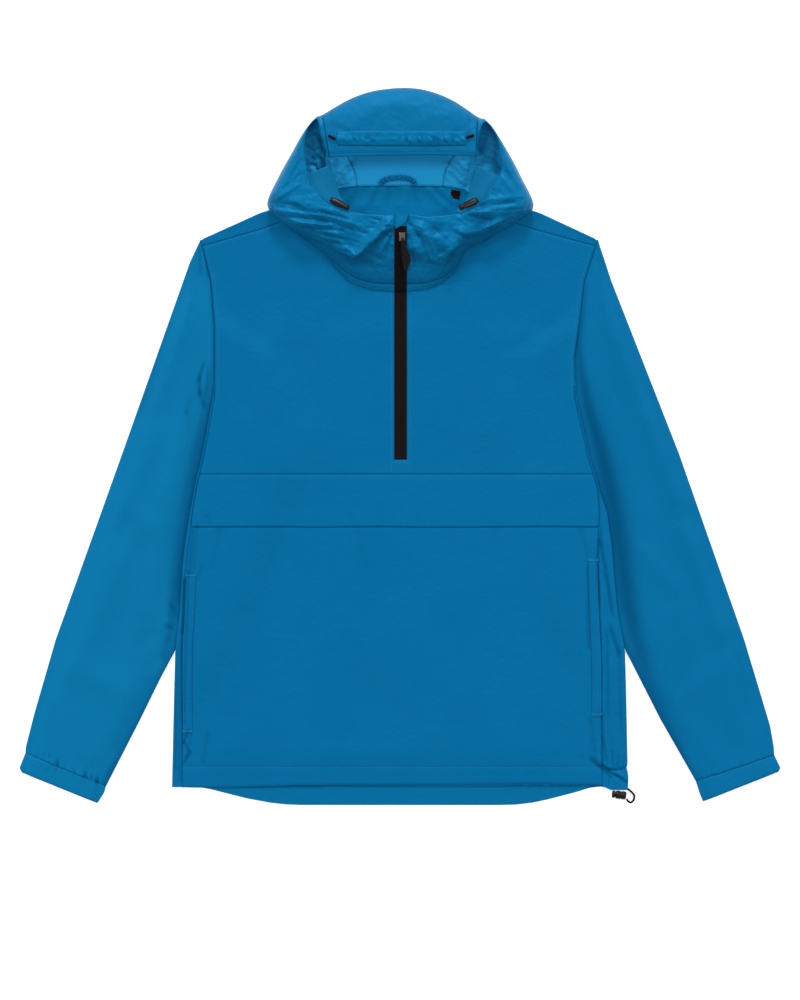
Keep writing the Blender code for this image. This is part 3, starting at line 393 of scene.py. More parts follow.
class Wire:
    """An output socket in a material; + - and * with numbers or wires add Math nodes."""

    def __init__(self, paint, socket):
        self.paint = paint
        self.socket = socket

    def __add__(self, other):
        return self.paint.math("ADD", self, other)

    def __radd__(self, other):
        return self.paint.math("ADD", other, self)

    def __sub__(self, other):
        return self.paint.math("SUBTRACT", self, other)

    def __rsub__(self, other):
        return self.paint.math("SUBTRACT", other, self)

    def __mul__(self, other):
        return self.paint.math("MULTIPLY", self, other)

    def __rmul__(self, other):
        return self.paint.math("MULTIPLY", other, self)


class Paint:
    """A material under construction."""

    def __init__(self, name):
        self.material = bpy.data.materials.new(name)
        self.material.use_nodes = True
        self.tree = self.material.node_tree
        self.shader = self.tree.nodes["Principled BSDF"]

    def node(self, kind, settings=None, values=None, output=0):
        """Adds a node: settings first, then the value of, or the wire into, each named socket."""
        made = self.tree.nodes.new(kind)
        for key, value in (settings or {}).items():
            setattr(made, key, value)
        for key, value in (values or {}).items():
            self.join(made.inputs[key], value)
        return Wire(self, made.outputs[output])

    def join(self, socket, value):
        if isinstance(value, Wire):
            self.tree.links.new(value.socket, socket)
        else:
            socket.default_value = value

    def math(self, operation, *values):
        return self.node("ShaderNodeMath", {"operation": operation}, dict(enumerate(values)))

    def wave(self, value, pitch):
        """A sine of a length, once every pitch."""
        return self.math("SINE", value * (2 * np.pi / pitch))

    def between(self, share, first, second):
        """The colour between two colours at a share from 0 to 1."""
        return self.node("ShaderNodeMix", {"data_type": "RGBA"},
                         {0: share, 6: first, 7: second}, output=2)

    def limited(self, value):
        """A value held between 0 and 1."""
        return self.node("ShaderNodeClamp", None, {0: value})

    def noise(self, vector, scale, detail=2.0, roughness=0.5):
        return self.node("ShaderNodeTexNoise", None,
                         {"Vector": vector, "Scale": scale, "Detail": detail,
                          "Roughness": roughness}, output="Fac")

    def place(self):
        return self.node("ShaderNodeTexCoord", None, None, output="Object")

    def carried(self, name):
        """The value that the mesh carries for each point under a name."""
        return self.node("ShaderNodeAttribute", {"attribute_name": name}, None, output="Fac")

    def first_two(self, vector):
        """The first two numbers of a vector."""
        first = self.node("ShaderNodeSeparateXYZ", None, {0: vector})
        return first, Wire(self, first.socket.node.outputs[1])

    def bump(self, height):
        """The normal of a relief whose height is in metres."""
        return self.node("ShaderNodeBump", None,
                         {"Height": height, "Distance": 1.0, "Strength": 1.0})

    def finish(self, colour, roughness, normal=None, **fixed):
        """Joins what varies to the shader and sets what is the same all over on its sockets."""
        self.join(self.shader.inputs["Base Color"], colour)
        self.join(self.shader.inputs["Roughness"], roughness)
        if normal is not None:
            self.join(self.shader.inputs["Normal"], normal)
        for name, value in fixed.items():
            self.shader.inputs[name.replace("_", " ")].default_value = value
        return self.material


# %% [markdown]
# ## The nylon
# The real shell is a fine plain weave with a dull, slightly waxy face: mostly diffuse, with a
# broad soft highlight. Its folds get painted shade: the attribute shade mixes each point towards a
# darker shade colour. Warp and weft are two sines of the UV lengths, which lift each other in
# turn. A little large noise keeps the dye from being perfectly even, and finer noise creases the
# cloth, most of all on the hood. Seen from the side, fine filaments catch light, so the shader
# gets a faint sheen. The same recipe makes every panel, each a shade of its own; the left sleeve's
# blue is painted lighter than the right's, as painted light for the stronger light on that sleeve.

# %% Cloth materials
THREAD_PITCH = 0.62 * MM
WEAVE_DEPTH = 0.035 * MM
CRUMPLE_DEPTH = 0.55 * MM
# Lumps of noise in a metre: uneven dye, soft crumples, sharp creases and pleats along the warp.
DYE_LUMPS, CRUMPLE_LUMPS, CREASE_LUMPS, PLEAT_LUMPS = 9.0, 45.0, 62.0, 170.0
PLEAT_STRETCH = (1.0, 0.34, 1.0)
SKY_TINT = (0.04, 0.50, 1.0, 1.0)
SHEEN_TINT = (0.05, 0.60, 1.0, 1.0)


def nylon(name, colour, shade_colour, reverse, roughness, crumple=1.0, shine=0.30):
    """Plain weave and creases, with painted shade: the attribute shade mixes in the shade colour.

    The height is sin u times sin v of the threads, plus soft noise, less sharp creases, which are
    the size of a noise that bends at zero, and less pleats of the same kind, stretched lengthwise.
    The attribute inside picks the reverse's colour.
    """
    paint = Paint(name)
    uv = paint.node("ShaderNodeUVMap", {"uv_map": "cloth"})
    u, v = paint.first_two(uv)
    weave = paint.wave(u, 2 * THREAD_PITCH) * paint.wave(v, 2 * THREAD_PITCH)
    patches = paint.noise(paint.place(), DYE_LUMPS, 3.0, 0.55)
    even = paint.limited((patches - 0.5) * 0.9 + 0.5)
    dark, light = (tuple(gain * c + more for c in colour[:3]) + (1,)
                   for gain, more in ((0.95, 0), (1.10, 0.001)))
    dyed = paint.between(even, dark, light)
    both_faces = paint.between(paint.carried("inside"), dyed, reverse)
    shaded = paint.between(paint.carried("shade"), both_faces, shade_colour)
    crumples = paint.noise(uv, CRUMPLE_LUMPS, 3.0, 0.5)
    creases = paint.math("ABSOLUTE", paint.noise(uv, CREASE_LUMPS, 2.0, 0.55) - 0.5)
    stretched = paint.node("ShaderNodeMapping", None,
                           {0: uv, "Scale": PLEAT_STRETCH})
    pleats = paint.math("ABSOLUTE", paint.noise(stretched, PLEAT_LUMPS, 2.0, 0.5) - 0.5)
    height = (crumples * (crumple * CRUMPLE_DEPTH) + weave * (0.25 * WEAVE_DEPTH)
              - creases * (crumple * 1.5 * CRUMPLE_DEPTH)
              - pleats * ((crumple - 1.0) * 1.1 * CRUMPLE_DEPTH))
    dull = patches * 0.10 + (roughness - 0.05)
    return paint.finish(shaded, dull, paint.bump(height), Specular_IOR_Level=shine,
                        Specular_Tint=SKY_TINT, Sheen_Weight=0.06, Sheen_Roughness=0.45,
                        Sheen_Tint=SHEEN_TINT)


BODY_BLUE = (0.0010, 0.124, 0.296, 1)
# The left sleeve's blue is painted lighter than the right sleeve's: painted light, for the
# stronger light that falls on the left sleeve.
LEFT_BLUE = (0.0018, 0.147, 0.328, 1)
RIGHT_BLUE = (0.0014, 0.130, 0.302, 1)
# The colours that the attribute shade mixes towards: painted shade for creases, seams and folds.
BODY_SHADE_BLUE = (0.0005, 0.058, 0.150, 1)
HOOD_BLUE = (0.0016, 0.130, 0.296, 1)
COLLAR_BLUE = (0.0013, 0.136, 0.309, 1)
HOOD_SHADE_BLUE = (0.0005, 0.070, 0.178, 1)
REVERSE_BLUE = (0.0160, 0.300, 0.600, 1)
NECK_BLUE = (0.0020, 0.158, 0.352, 1)
LINING_BLUE = (0.0045, 0.140, 0.300, 1)
body_nylon = nylon("nylon_body", BODY_BLUE, BODY_SHADE_BLUE, NECK_BLUE, 0.56)
sleeve_nylon = {"left": nylon("nylon_sleeve_left", LEFT_BLUE, HOOD_SHADE_BLUE, LEFT_BLUE, 0.55),
                "right": nylon("nylon_sleeve_right", RIGHT_BLUE, HOOD_SHADE_BLUE, RIGHT_BLUE, 0.55)}
hood_nylon = nylon("nylon_hood", COLLAR_BLUE, HOOD_SHADE_BLUE, REVERSE_BLUE, 0.43, crumple=2.2,
                   shine=0.40)
crown_nylon = nylon("nylon_crown", HOOD_BLUE, HOOD_SHADE_BLUE, REVERSE_BLUE, 0.52, crumple=1.1)
lining_nylon = nylon("nylon_lining", LINING_BLUE, HOOD_SHADE_BLUE, REVERSE_BLUE, 0.62)
print("cloth materials made")

# %% [markdown]
# ## Trims
# Zip tape and cord are dull black weaves; the pull and the cord lock are matt mouldings; the
# toggles are a black moulding with a brownish highlight painted along their upper side; the
# slider is plated metal. Thread is a twist of the shell's colour: on the body painted a little
# lighter, a painted highlight because it stands up into the light, and on the hood painted
# darker, as painted shade.

# %% Trim materials
FINE_GRAIN, WOVEN_GRAIN, TWIST_GRAIN, GLOSS_PATCHES = 700.0, 900.0, 1500.0, 90.0  # per metre
GRAIN_DEPTH, RIB_DEPTH, TWIST_DEPTH = 0.03 * MM, 0.04 * MM, 0.05 * MM
WOVEN_DARK, WOVEN_LIGHT = (0.0042, 0.0020, 0.0018, 1), (0.0080, 0.0040, 0.0036, 1)
# The toggles' black, and the colour of a highlight painted along their upper side, which starts
# where the attribute band passes STRIP_EDGE.
TOGGLE_BLACK, TOGGLE_HIGHLIGHT = (0.005, 0.0045, 0.004, 1), (0.066, 0.038, 0.027, 1)
STRIP_EDGE = 0.68


def woven_black(name, pitch, roughness):
    """A ribbed black weave: sines across and along the tape at one pitch, and grain."""
    paint = Paint(name)
    across_it, along_it = paint.first_two(paint.place())
    ribs = paint.wave(across_it, pitch) * paint.wave(along_it, pitch)
    grain = paint.noise(paint.place(), WOVEN_GRAIN, 2.0)
    normal = paint.bump(ribs * RIB_DEPTH + grain * TWIST_DEPTH)
    colour = paint.between(grain, WOVEN_DARK, WOVEN_LIGHT)
    return paint.finish(colour, roughness, normal, Specular_IOR_Level=0.10)


def moulded(name, dark, light, roughness, **fixed):
    """A moulding with fine grain and slightly uneven gloss."""
    paint = Paint(name)
    grain = paint.noise(paint.place(), FINE_GRAIN, 3.0)
    wide = paint.noise(paint.place(), GLOSS_PATCHES, 2.0)
    return paint.finish(paint.between(wide, dark, light), wide * 0.12 + (roughness - 0.06),
                        paint.bump(grain * GRAIN_DEPTH), **fixed)


def toggle_finish(name):
    """A black moulding with a brownish highlight painted along its top, where the attribute band
    is high.
    """
    paint = Paint(name)
    grain = paint.noise(paint.place(), FINE_GRAIN, 3.0)
    strip = paint.limited((paint.carried("band") - STRIP_EDGE) * 6.0)
    return paint.finish(paint.between(strip, TOGGLE_BLACK, TOGGLE_HIGHLIGHT), grain * 0.1 + 0.34,
                        paint.bump(grain * GRAIN_DEPTH), Specular_IOR_Level=0.35)


def thread(name, dark, light):
    """Sewing thread: very fine noise stands for its twist."""
    paint = Paint(name)
    twist = paint.noise(paint.place(), TWIST_GRAIN, 2.0)
    return paint.finish(paint.between(twist, dark, light), 0.6, paint.bump(twist * TWIST_DEPTH),
                        Specular_IOR_Level=0.3)


tape_black = woven_black("zip_tape_weave", 0.9 * MM, 0.78)
label_black = woven_black("label_weave", 0.5 * MM, 0.85)
plastic_black = moulded("moulded_black", (0.0035, 0.003, 0.003, 1), (0.007, 0.006, 0.006, 1), 0.50,
                        Specular_IOR_Level=0.25)
highlit_toggle_black = toggle_finish("toggle_black_painted_highlight")
plated = moulded("plated_metal", (0.20, 0.15, 0.13, 1), (0.36, 0.29, 0.26, 1), 0.30, Metallic=1.0)
cord_black = woven_black("elastic_cord", 0.8 * MM, 0.6)
# The body's thread is painted lighter, as a painted highlight, and the hood's thread darker, as
# painted shade.
blue_thread = thread("thread_blue", (0.006, 0.215, 0.450, 1), (0.018, 0.310, 0.610, 1))
dark_thread = thread("thread_shaded", (0.001, 0.085, 0.205, 1), (0.003, 0.120, 0.270, 1))
print("trim materials made")

# %% [markdown]
# ## The body's outline
# The rows give the folded side edges, the side seams that lie a little in from them on the
# front, the hems, and the top edges of back and front. The back is wider than the front: it
# turns round the side folds and over the shoulders, so the seams show on the front. Where the
# sleeves' inner edges are tucked under the body, the back climbs over them.

# %% Outline tables
GAP = 0.3 * MM
SEAM = 0.1 * MM
EDGE_HEIGHT = 3.0 * MM
BODY_LOFT = 2.6 * MM
SLEEVE_LOFT = 3.0 * MM
UNDERARM_LIFT = EDGE_HEIGHT + GAP
LIFT_RAMP = 60 * MM
LEAST_HEIGHT = 1.7 * MM  # of the front's outer face over the back's, so that the layers stay apart
ZIP_LEFT, ZIP_RIGHT = -7.2 * MM, 8.6 * MM
ZIP_STITCHES = (ZIP_LEFT - 3.6 * MM, ZIP_RIGHT + 3.6 * MM)
ZIP_BOTTOM, ZIP_TOP = -16 * MM, 272 * MM
CHEST_SEAM = -34.1 * MM
CHEST_STITCH = CHEST_SEAM - 3 * MM
FLAP_EDGE = -99 * MM
HEM_STITCH = -397 * MM
HEM_OF_FRONT, HEM_OF_BACK = -420 * MM, -419 * MM
FIRST_ROW = -421.5 * MM
PANEL = 0.7 * MM  # wall of the sewn panels, two layers of cloth and their seam allowance
INWARD = {"left": 1, "right": -1}  # along X, from a side edge towards the middle
BODY_SEED, SLEEVE_SEEDS = 11, {"left": 51, "right": 71}

SIDES = chart("y left right left_seam right_seam", [
    (-421, -282.7, 282.7, -270, 250.5), (-384, -281.8, 282, -270, 250.5),
    (-294, -279.6, 280, -270, 250.3), (-252, -278.4, 278.8, -270, 249.5),
    (-203, -272.8, 269.5, -267, 247), (-150, -269.8, 264.5, -265, 245.5),
    (-123, -266.6, 262.4, -262, 245), (-82, -260.5, 256.7, -257, 247),
    (-56, -255.5, 248, -253, 245.5), (-34, -251, 242, -248.5, 239.5),
    (-16, -246.5, 236, -244, 233.5), (18.6, -239.8, 228.5, -237.3, 226),
    (59.5, -232.5, 219, -230, 216.5), (80.6, -229.5, 217, -229.5, 217),
    (111.6, -229.5, 216, -229.5, 216), (152, -229.5, 221.5, -229.5, 221.5),
    (205, -234.5, 228.7, -234.5, 228.7), (257, -247, 245, -247, 245)])
FIRST_ARMHOLE_Y = 80 * MM
SLACK = [(46, 95, 0.42, 8), (13, 34, 0.16, -6), (7, 9, 0.06, 30)]  # cell, height in mm, turn
ARMPITS = {"left": (-186 * MM, 21 * MM), "right": (174 * MM, 21 * MM)}
LIFTED = chart("y left right", [
    (-420, -345, 345), (-330, -300, 300), (-252, -245, 245), (-120, -190, 186), (21, -142, 134),
    (80, -168, 160), (112, -188, 178), (186, -290, 290)])
HEMS = chart("x front back", [
    (-283, -421.5, -421.5), (-247, -422.3, -422), (-236, -422.4, -424), (-214, -421.9, -429.6),
    (-189, -421.4, -435.8), (-161, -420.7, -441), (-142, -420, -443.1), (-124, -419.5, -443.8),
    (0, -418.5, -443.9), (124, -417.8, -443.9), (145, -417.7, -443.3), (165, -417.6, -440.8),
    (182, -417.5, -437.2), (215, -418, -428.7), (236, -418.5, -422.4), (248, -419.5, -421),
    (283, -421.5, -421.5)])
CORNER_DROOP = 3.6 * MM  # how far the cord's gathers let the hem's right corner hang down
TOP_OF_BACK = chart("x y", [
    (-247, 257), (-174, 290), (-100, 314), (-75, 323), (-53, 325), (0, 326), (53, 325), (75, 323),
    (100, 314), (174, 290), (245, 257)])
TOP_OF_FRONT = chart("x y", [
    (-243, 249), (-174, 269), (-152, 277), (-97, 296), (-90, 246), (-78, 226), (-67, 212),
    (-52, 204.5), (-35, 198), (-10, 195.5), (10, 196.5), (39, 200), (55, 208), (69, 221),
    (80, 246), (92, 296), (152, 274), (174, 267), (241, 249)])
NECK_REACH = 104 * MM
FAN_BASE = 188 * MM
print("rows of the side edges:", len(SIDES["y"]))

# %% [markdown]
# ## Where the cloth is creased
# The front lies almost flat. What shows is slack: a few long soft folds, shallow drag lines
# above and below the flap, and upright wrinkles where the sides have been turned in over the
# pocket bags. Each is a row with its line, half width, height and dark, the painted shade that
# its hollow gets. Under them lie three sizes of gentle noise, drawn longer along the warp.

# %% Creases of the front
FRONT_RIDGES = chart(CREASE, [
    (-170, 60, -150, 180, 16, 0.9), (165, 40, 172, 170, 18, 0.8), (-120, -20, -60, 60, 22, 0.6),
    (90, 20, 130, 130, 24, 0.7), (-205, -300, -190, -180, 20, 0.8),
    (205, -330, 196, -190, 18, 0.9), (-90, -390, 40, -360, 20, 0.7),
    (-60, -250, 60, -190, 34, 0.9)])
FRONT_CREASES = chart(CREASE, [
    (-52, -103, -46, -128, 4, -0.5, 0.1), (-48, -132, -40, -150, 5, -0.4, 0.06),
    (60, -102, 66, -124, 5, -0.4, 0.06), (-62, -86, -57, -97, 3, -0.5, 0.1),
    (22, -88, 27, -97, 3, -0.4, 0.08), (-240, -84, -236, -96, 3, -0.6, 0.14),
    (120, -104, 112, -140, 7, -0.4, 0.05), (-150, -106, -158, -150, 8, -0.4, 0.04),
    (-222, -104, -232, -150, 4, -0.5, 0.12), (224, -104, 233, -138, 4, -0.5, 0.12),
    (-205, -60, -188, 30, 12, 0.6), (196, -40, 186, 60, 14, 0.6), (-110, -200, -95, -330, 26, 0.6),
    (110, -170, 96, -300, 26, 0.6), (-30, -300, 20, -345, 14, -0.4, 0.03),
    (-216, -342, -214, -372, 4, 0.5), (222, -340, 226, -380, 4, 0.6),
    (-238, -355, -244, -392, 3, -0.7, 0.25), (236, -338, 243, -392, 3, -0.8, 0.28),
    (-120, 120, -90, 40, 20, -0.4, 0.03), (70, 150, 96, 60, 20, -0.4, 0.03),
    (-190, 140, -196, 60, 9, -0.5, 0.05), (186, 150, 190, 70, 9, -0.5, 0.05),
    (-60, 196, -100, 170, 10, 0.5), (60, 196, 98, 172, 10, 0.5), (-150, 230, -90, 262, 12, 0.4),
    (150, 230, 96, 258, 12, 0.4)])
CORNER_GATHERS = chart(CREASE, [
    (236, -386, 247, -396, 2.2, -1.2, 0.75), (247, -396, 258, -401.5, 2.2, -1.2, 0.8),
    (258, -401.5, 269, -407, 2, -1.1, 0.7), (269, -407, 281, -415, 1.8, -1, 0.65),
    (240, -383, 260, -398, 2.4, 0.9), (250, -394, 259, -399.5, 1.5, -0.8, 0.5),
    (259, -399.5, 266, -400.5, 1.4, -0.8, 0.55), (266, -400.5, 274, -399.5, 1.4, -0.8, 0.55),
    (274, -399.5, 282, -396, 1.4, -0.8, 0.55), (253, -366, 257, -394, 1.5, -0.8, 0.4),
    (259, -374, 261, -396, 1.7, 0.8), (262.5, -378, 264.5, -398, 1.4, -0.8, 0.42),
    (267, -370, 268, -397, 1.6, 0.8), (270.5, -382, 270.5, -398, 1.3, -0.8, 0.38),
    (275.5, -376, 274, -396, 1.6, 0.8), (279, -384, 277, -396, 1.2, -0.6, 0.3),
    (262, -403, 281, -408, 2.2, 0.9), (252, -403, 262, -409, 1.4, -0.7, 0.4),
    (258, -402, 259, -419, 1.2, -0.4, 0.35)])
SIDE_CREASES = chart(CREASE, [
    (-256, -104, -261, -160, 2.4, -0.9, 0.4), (-251, -100, -256, -158, 2, -0.6, 0.25),
    (-262, -160, -268, -345, 2.2, -1.1, 0.8), (-272, -190, -275, -290, 2.6, 0.7),
    (-267, -200, -271, -330, 2.2, 0.8), (-276, -250, -278, -400, 2.6, -0.7, 0.3),
    (-259, -150, -262, -250, 2, 0.6), (-262, -352, -268, -366, 1.8, -0.9, 0.6),
    (-267.6, -162, -269.3, -228, 1.5, -0.8, 0.95), (-270.5, -228, -272, -340, 1.6, -0.6, 0.45),
    (-268, -366, -260, -378, 1.8, -0.9, 0.65), (-261, -380, -268, -392, 1.8, -0.8, 0.6),
    (-258, -356, -262, -370, 1.6, -0.6, 0.4), (-266, -376, -262, -386, 1.6, -0.6, 0.4),
    (-264, -366, -259, -378, 1.6, 0.8), (-266, -380, -262, -392, 1.6, 0.8),
    (-258, -362, -266, -380, 1.8, 0.9), (-256, -200, -259, -330, 1.8, -0.3, 0.2),
    (-271, -352, -273, -415, 2.4, -0.7, 0.3), (-245, -150, -249, -165, 2, -0.6, 0.2),
    (249, -104, 244, -140, 2, -0.7, 0.4), (254, -112, 252, -156, 2.4, 0.9),
    (243.5, -141, 246.5, -194, 1.5, -1.3, 1), (248, -116, 263, -206, 2.4, -1, 0.62),
    (256, -112, 262, -180, 2.2, 0.8), (261.5, -227, 271.5, -258, 2.4, -1, 0.65),
    (250.5, -331, 251.5, -400, 1.8, -0.6, 0.45), (264, -200, 268, -330, 3, 0.8),
    (272, -250, 274, -350, 2.4, -0.7, 0.3), (256, -230, 258, -330, 2.4, -0.6, 0.35),
    (260, -270, 262, -360, 2.4, 0.7), (233, -150, 234, -250, 2.6, -0.8, 0.42),
    (240, -145, 241, -230, 2, 0.5), (238, -250, 239, -300, 2.2, -0.4, 0.22)])

print("creases on the front:", sum(len(table["x0"]) for table in (
    FRONT_CREASES, CORNER_GATHERS, SIDE_CREASES)))

# %% The front's outer face


def side_x(name, y):
    """X of one of the body's side edges or side seams."""
    return look_up(SIDES, "y", name, y)


def lift(x, y):
    """Height of the back's underside, which climbs over the sleeves' hidden inner edges."""
    left = (look_up(LIFTED, "y", "left", y) + LIFT_RAMP - x) / LIFT_RAMP
    right = (x - look_up(LIFTED, "y", "right", y) + LIFT_RAMP) / LIFT_RAMP
    return UNDERARM_LIFT * np.maximum(smooth_step(left), smooth_step(right))


def front_height(x, y):
    """Height of the front's outer face: the folded edge's, with a soft loft in the middle."""
    from_side = np.minimum(x - side_x("left_seam", y), side_x("right_seam", y) - x)
    inside = ease(from_side, 85) * ease(y - HEM_OF_FRONT, 50) * ease(FAN_BASE - y, 60)
    return lift(x, y) + EDGE_HEIGHT + inside * (BODY_LOFT + crease_field(x, y, FRONT_RIDGES))


def slack(x, y, seed):
    """Gentle undulation of cloth at rest: the sum of three sizes of noise."""
    return MM * sum(height * noise(x, y, across_it, along_it, seed + k, turn)
                    for k, (across_it, along_it, height, turn) in enumerate(SLACK))


def pucker(along, away, pitch, height, reach, seed):
    """Gathers beside a seam: an uneven sine along it that dies away from it."""
    phase = noise(along, np.zeros_like(along), 22, 22, seed) * 2.4
    strength = 0.6 + 0.4 * noise(along, np.ones_like(along), 31, 31, seed + 3)
    wave = np.sin(2 * np.pi * along / pitch + phase)
    return height * strength * wave * np.exp(-np.abs(away) / reach)


def no_deeper(relief, depth):
    """The relief with its hollows held above a depth, by the hyperbolic tangent."""
    return np.where(relief < 0, depth * np.tanh(relief / depth), relief)


def front_folds(x, y, column="height"):
    """The three tables of the front's creases together."""
    return (crease_field(x, y, FRONT_CREASES, column) + crease_field(x, y, SIDE_CREASES, column)
            + crease_field(x, y, CORNER_GATHERS, column))


def front_surface(x, y):
    """The dressed front: form, creases, slack, puckered seams and the grooves of stitching."""
    zip_edge = np.minimum(*(np.abs(x - edge) for edge in ZIP_STITCHES))
    z = (front_height(x, y) + no_deeper(front_folds(x, y), 1.0 * MM) + slack(x, y, BODY_SEED)
         + pucker(x, y - CHEST_SEAM, 7 * MM, 0.16 * MM, 9 * MM, 31)
         + pucker(x, y - HEM_STITCH, 6 * MM, 0.30 * MM, 11 * MM, 37)
         - fading(y - HEM_STITCH, 0.25 * MM, 1.6)
         - fading(y - CHEST_STITCH, 0.25 * MM, 1.2)
         - (y > CHEST_SEAM) * fading(zip_edge, 0.30 * MM, 1.3))
    return np.maximum(z, lift(x, y) + LEAST_HEIGHT)


def front_shade(x, y):
    """The front's painted shade: how dark its folds are painted, from the crease tables and the
    stitched grooves.
    """
    return (front_folds(x, y, "dark") + fading(y - HEM_STITCH, 0.06, 1.4)
            + fading(y - CHEST_STITCH, 0.10, 1.2))


# %% [markdown]
# ## Lower front, flap and pocket welts
# The lower front runs up under the pocket flap to the chest seam. The flap is the same surface
# moved out by its own two layers, so that it follows every fold beneath it and throws a thin
# shadow along its free edge. Panel edges roll down into the seams.

# %% Sizes of the welts
WELT_WIDTH = 12.8 * MM
WELT_ENDS = {"left": (-352, -159), "right": (-331, -140)}
HALF_SHARES = np.unique(np.concatenate([
    close_at_ends(2), np.arange(0, 0.15, 0.0054), np.linspace(0.15, 1, 58)]))
MIDDLE_SHARES = np.array([0.2, 0.5, 0.8])


def across(left, right):
    """Columns of each row: left edge to zip slot, over the slot, and zip slot to right edge."""
    left, right = np.asarray(left)[:, None], np.asarray(right)[:, None]
    left_half = left + (ZIP_LEFT - left) * HALF_SHARES
    right_half = right + (ZIP_RIGHT - right) * HALF_SHARES[::-1]
    middle = ZIP_LEFT + (ZIP_RIGHT - ZIP_LEFT) * MIDDLE_SHARES * np.ones_like(left)
    return np.concatenate([left_half, middle, right_half], axis=1)


# %% Rows and columns of the front


def from_sides(x):
    """Distance of each point of a grid to the nearer end of its row."""
    return np.minimum(x - x[:, :1], x[:, -1:] - x)


def pulled_to_hem(x, y, layer, reach):
    """The lowest rows moved onto the hem's outline, which dies out over a reach in millimetres."""
    return y + (1 - ease(y - y[0], reach)) * (look_up(HEMS, "x", layer, x[0]) - y[0])


def rows_between(low, high, step, lines=()):
    """Row positions every step, close together at both ends and round each stitched line."""
    even = np.linspace(low, high, int((high - low) / step) + 2)
    near = np.array([0.5, 1.2, 2.4]) * MM
    extra = [low + near, high - near] + [line + np.array([-2, -1, 0, 1, 2]) * MM for line in lines]
    rows = np.unique(np.round(np.concatenate([even, *extra]), 5))
    return rows[(rows >= low - 1e-9) & (rows <= high + 1e-9)]


def between_seams(rows):
    """Straight rows across the front between its side seams."""
    x = across(side_x("left_seam", rows) + SEAM / 2, side_x("right_seam", rows) - SEAM / 2)
    return x, rows[:, None] + 0 * x


# %% Lower front, flap and welts


def lower_front():
    """Hem to chest seam; the last rows run hidden under the flap."""
    rows = rows_between(FIRST_ROW, CHEST_SEAM - 1.5 * MM, 2.9 * MM, (HEM_STITCH, FLAP_EDGE))
    x, y = between_seams(rows)
    y = pulled_to_hem(x, y, "front", 30)
    side = from_sides(x)
    z = (front_surface(x, y) - fading(side, 0.5 * MM) - fading(y - y[:1], 0.8 * MM, 1.6)
         - 0.5 * MM * ease(y - FLAP_EDGE + 3 * MM, 3))
    # Painted shade: the front's folds and grooves, the side seams, and a painted shadow under the
    # flap's edge.
    dark = front_shade(x, y) + fading(side, 0.20, 1.5) + fading(y - FLAP_EDGE, 0.25, 1.8)
    return cloth("lower_front", grid_of(x, y, z), PANEL, body_nylon, dark)


def flap():
    """The full-width pocket flap, doubled cloth with a rolled lower edge."""
    rows = rows_between(FLAP_EDGE, CHEST_SEAM - SEAM / 2, 2.7 * MM, (CHEST_STITCH,))
    x, y = between_seams(rows)
    x[:, 0] += 0.4 * MM
    x[:, -1] -= 0.4 * MM
    droop = 0.7 * MM * noise(x[:1], 0 * x[:1], 70, 70, 5)
    y = y + (1 - ease(y - FLAP_EDGE, 20)) * droop
    side, seam = from_sides(x), y[-1:] - y
    z = (front_surface(x, y) + 1.4 * MM - fading(side, 0.8 * MM) - fading(y - y[:1], 0.7 * MM)
         - fading(seam, 1.1 * MM))
    # Painted shade: the front's folds, the chest seam and the flap's sides.
    dark = front_shade(x, y) + fading(seam, 0.30, 1.2) + fading(side, 0.2)
    return cloth("pocket_flap_cloth", grid_of(x, y, z), 1.1 * MM, body_nylon, dark)


def welt(side):
    """A pocket welt: a folded strip that stands a little proud of the front at the side."""
    low, high = WELT_ENDS[side]
    rows = rows_between(low * MM, high * MM, 3 * MM)
    u = close_at_ends(9, (0.3, 0.8), 14.0)
    x = side_x(side + "_seam", rows)[:, None] + INWARD[side] * (0.3 * MM + WELT_WIDTH * u)
    y = rows[:, None] + 0 * x
    ends, free_edge = np.minimum(y - y[:1], y[-1:] - y), (1 - u) * WELT_WIDTH
    z = (front_surface(x, y) + 1.15 * MM + 0.35 * MM * np.sin(np.pi * u) - fading(ends, 0.9 * MM)
         - fading(free_edge, 1.0 * MM) - 0.5 * MM * (u < 0.02))
    # Painted shade: half the front's, and more along the welt's free edge and its seam side.
    dark = front_shade(x, y) * 0.5 + fading(free_edge, 0.45) + fading(u * 13 * MM, 0.6)
    return cloth("welt_cloth_" + side, grid_of(x, y, z), 0.8 * MM, body_nylon, dark,
                 towards=INWARD[side])


pieces = {"front_lower": lower_front(), "pocket_flap": flap(),
          "welt_left": welt("left"), "welt_right": welt("right")}

# %% [markdown]
# ## Chest
# The upper front fans out from straight rows to the shoulder seams and the neckline, as its
# pattern piece does, and leaves a slot for the zip. The edges of the slot are turned under and
# topstitched, which shows as a shallow groove on either side of the tape.

# %% Chest


def fanned(rows, left_key, right_key, top, count, near=(), inset=0.0):
    """Straight rows, then rows that fan out from the base line to the table's top edge."""
    side_top = top["y"][0]
    fan_rows = FAN_BASE + (side_top - FAN_BASE) * close_at_ends(count, near, 60.0)[1:]
    side_y = np.concatenate([rows, fan_rows])
    x = across(side_x(left_key, side_y) + inset, side_x(right_key, side_y) - inset)
    share = np.clip((side_y - FAN_BASE) / (side_top - FAN_BASE), 0, 1)[:, None]
    straight = np.minimum(side_y, FAN_BASE)[:, None]
    return x, straight + share * (look_up(top, "x", "y", x) - FAN_BASE)


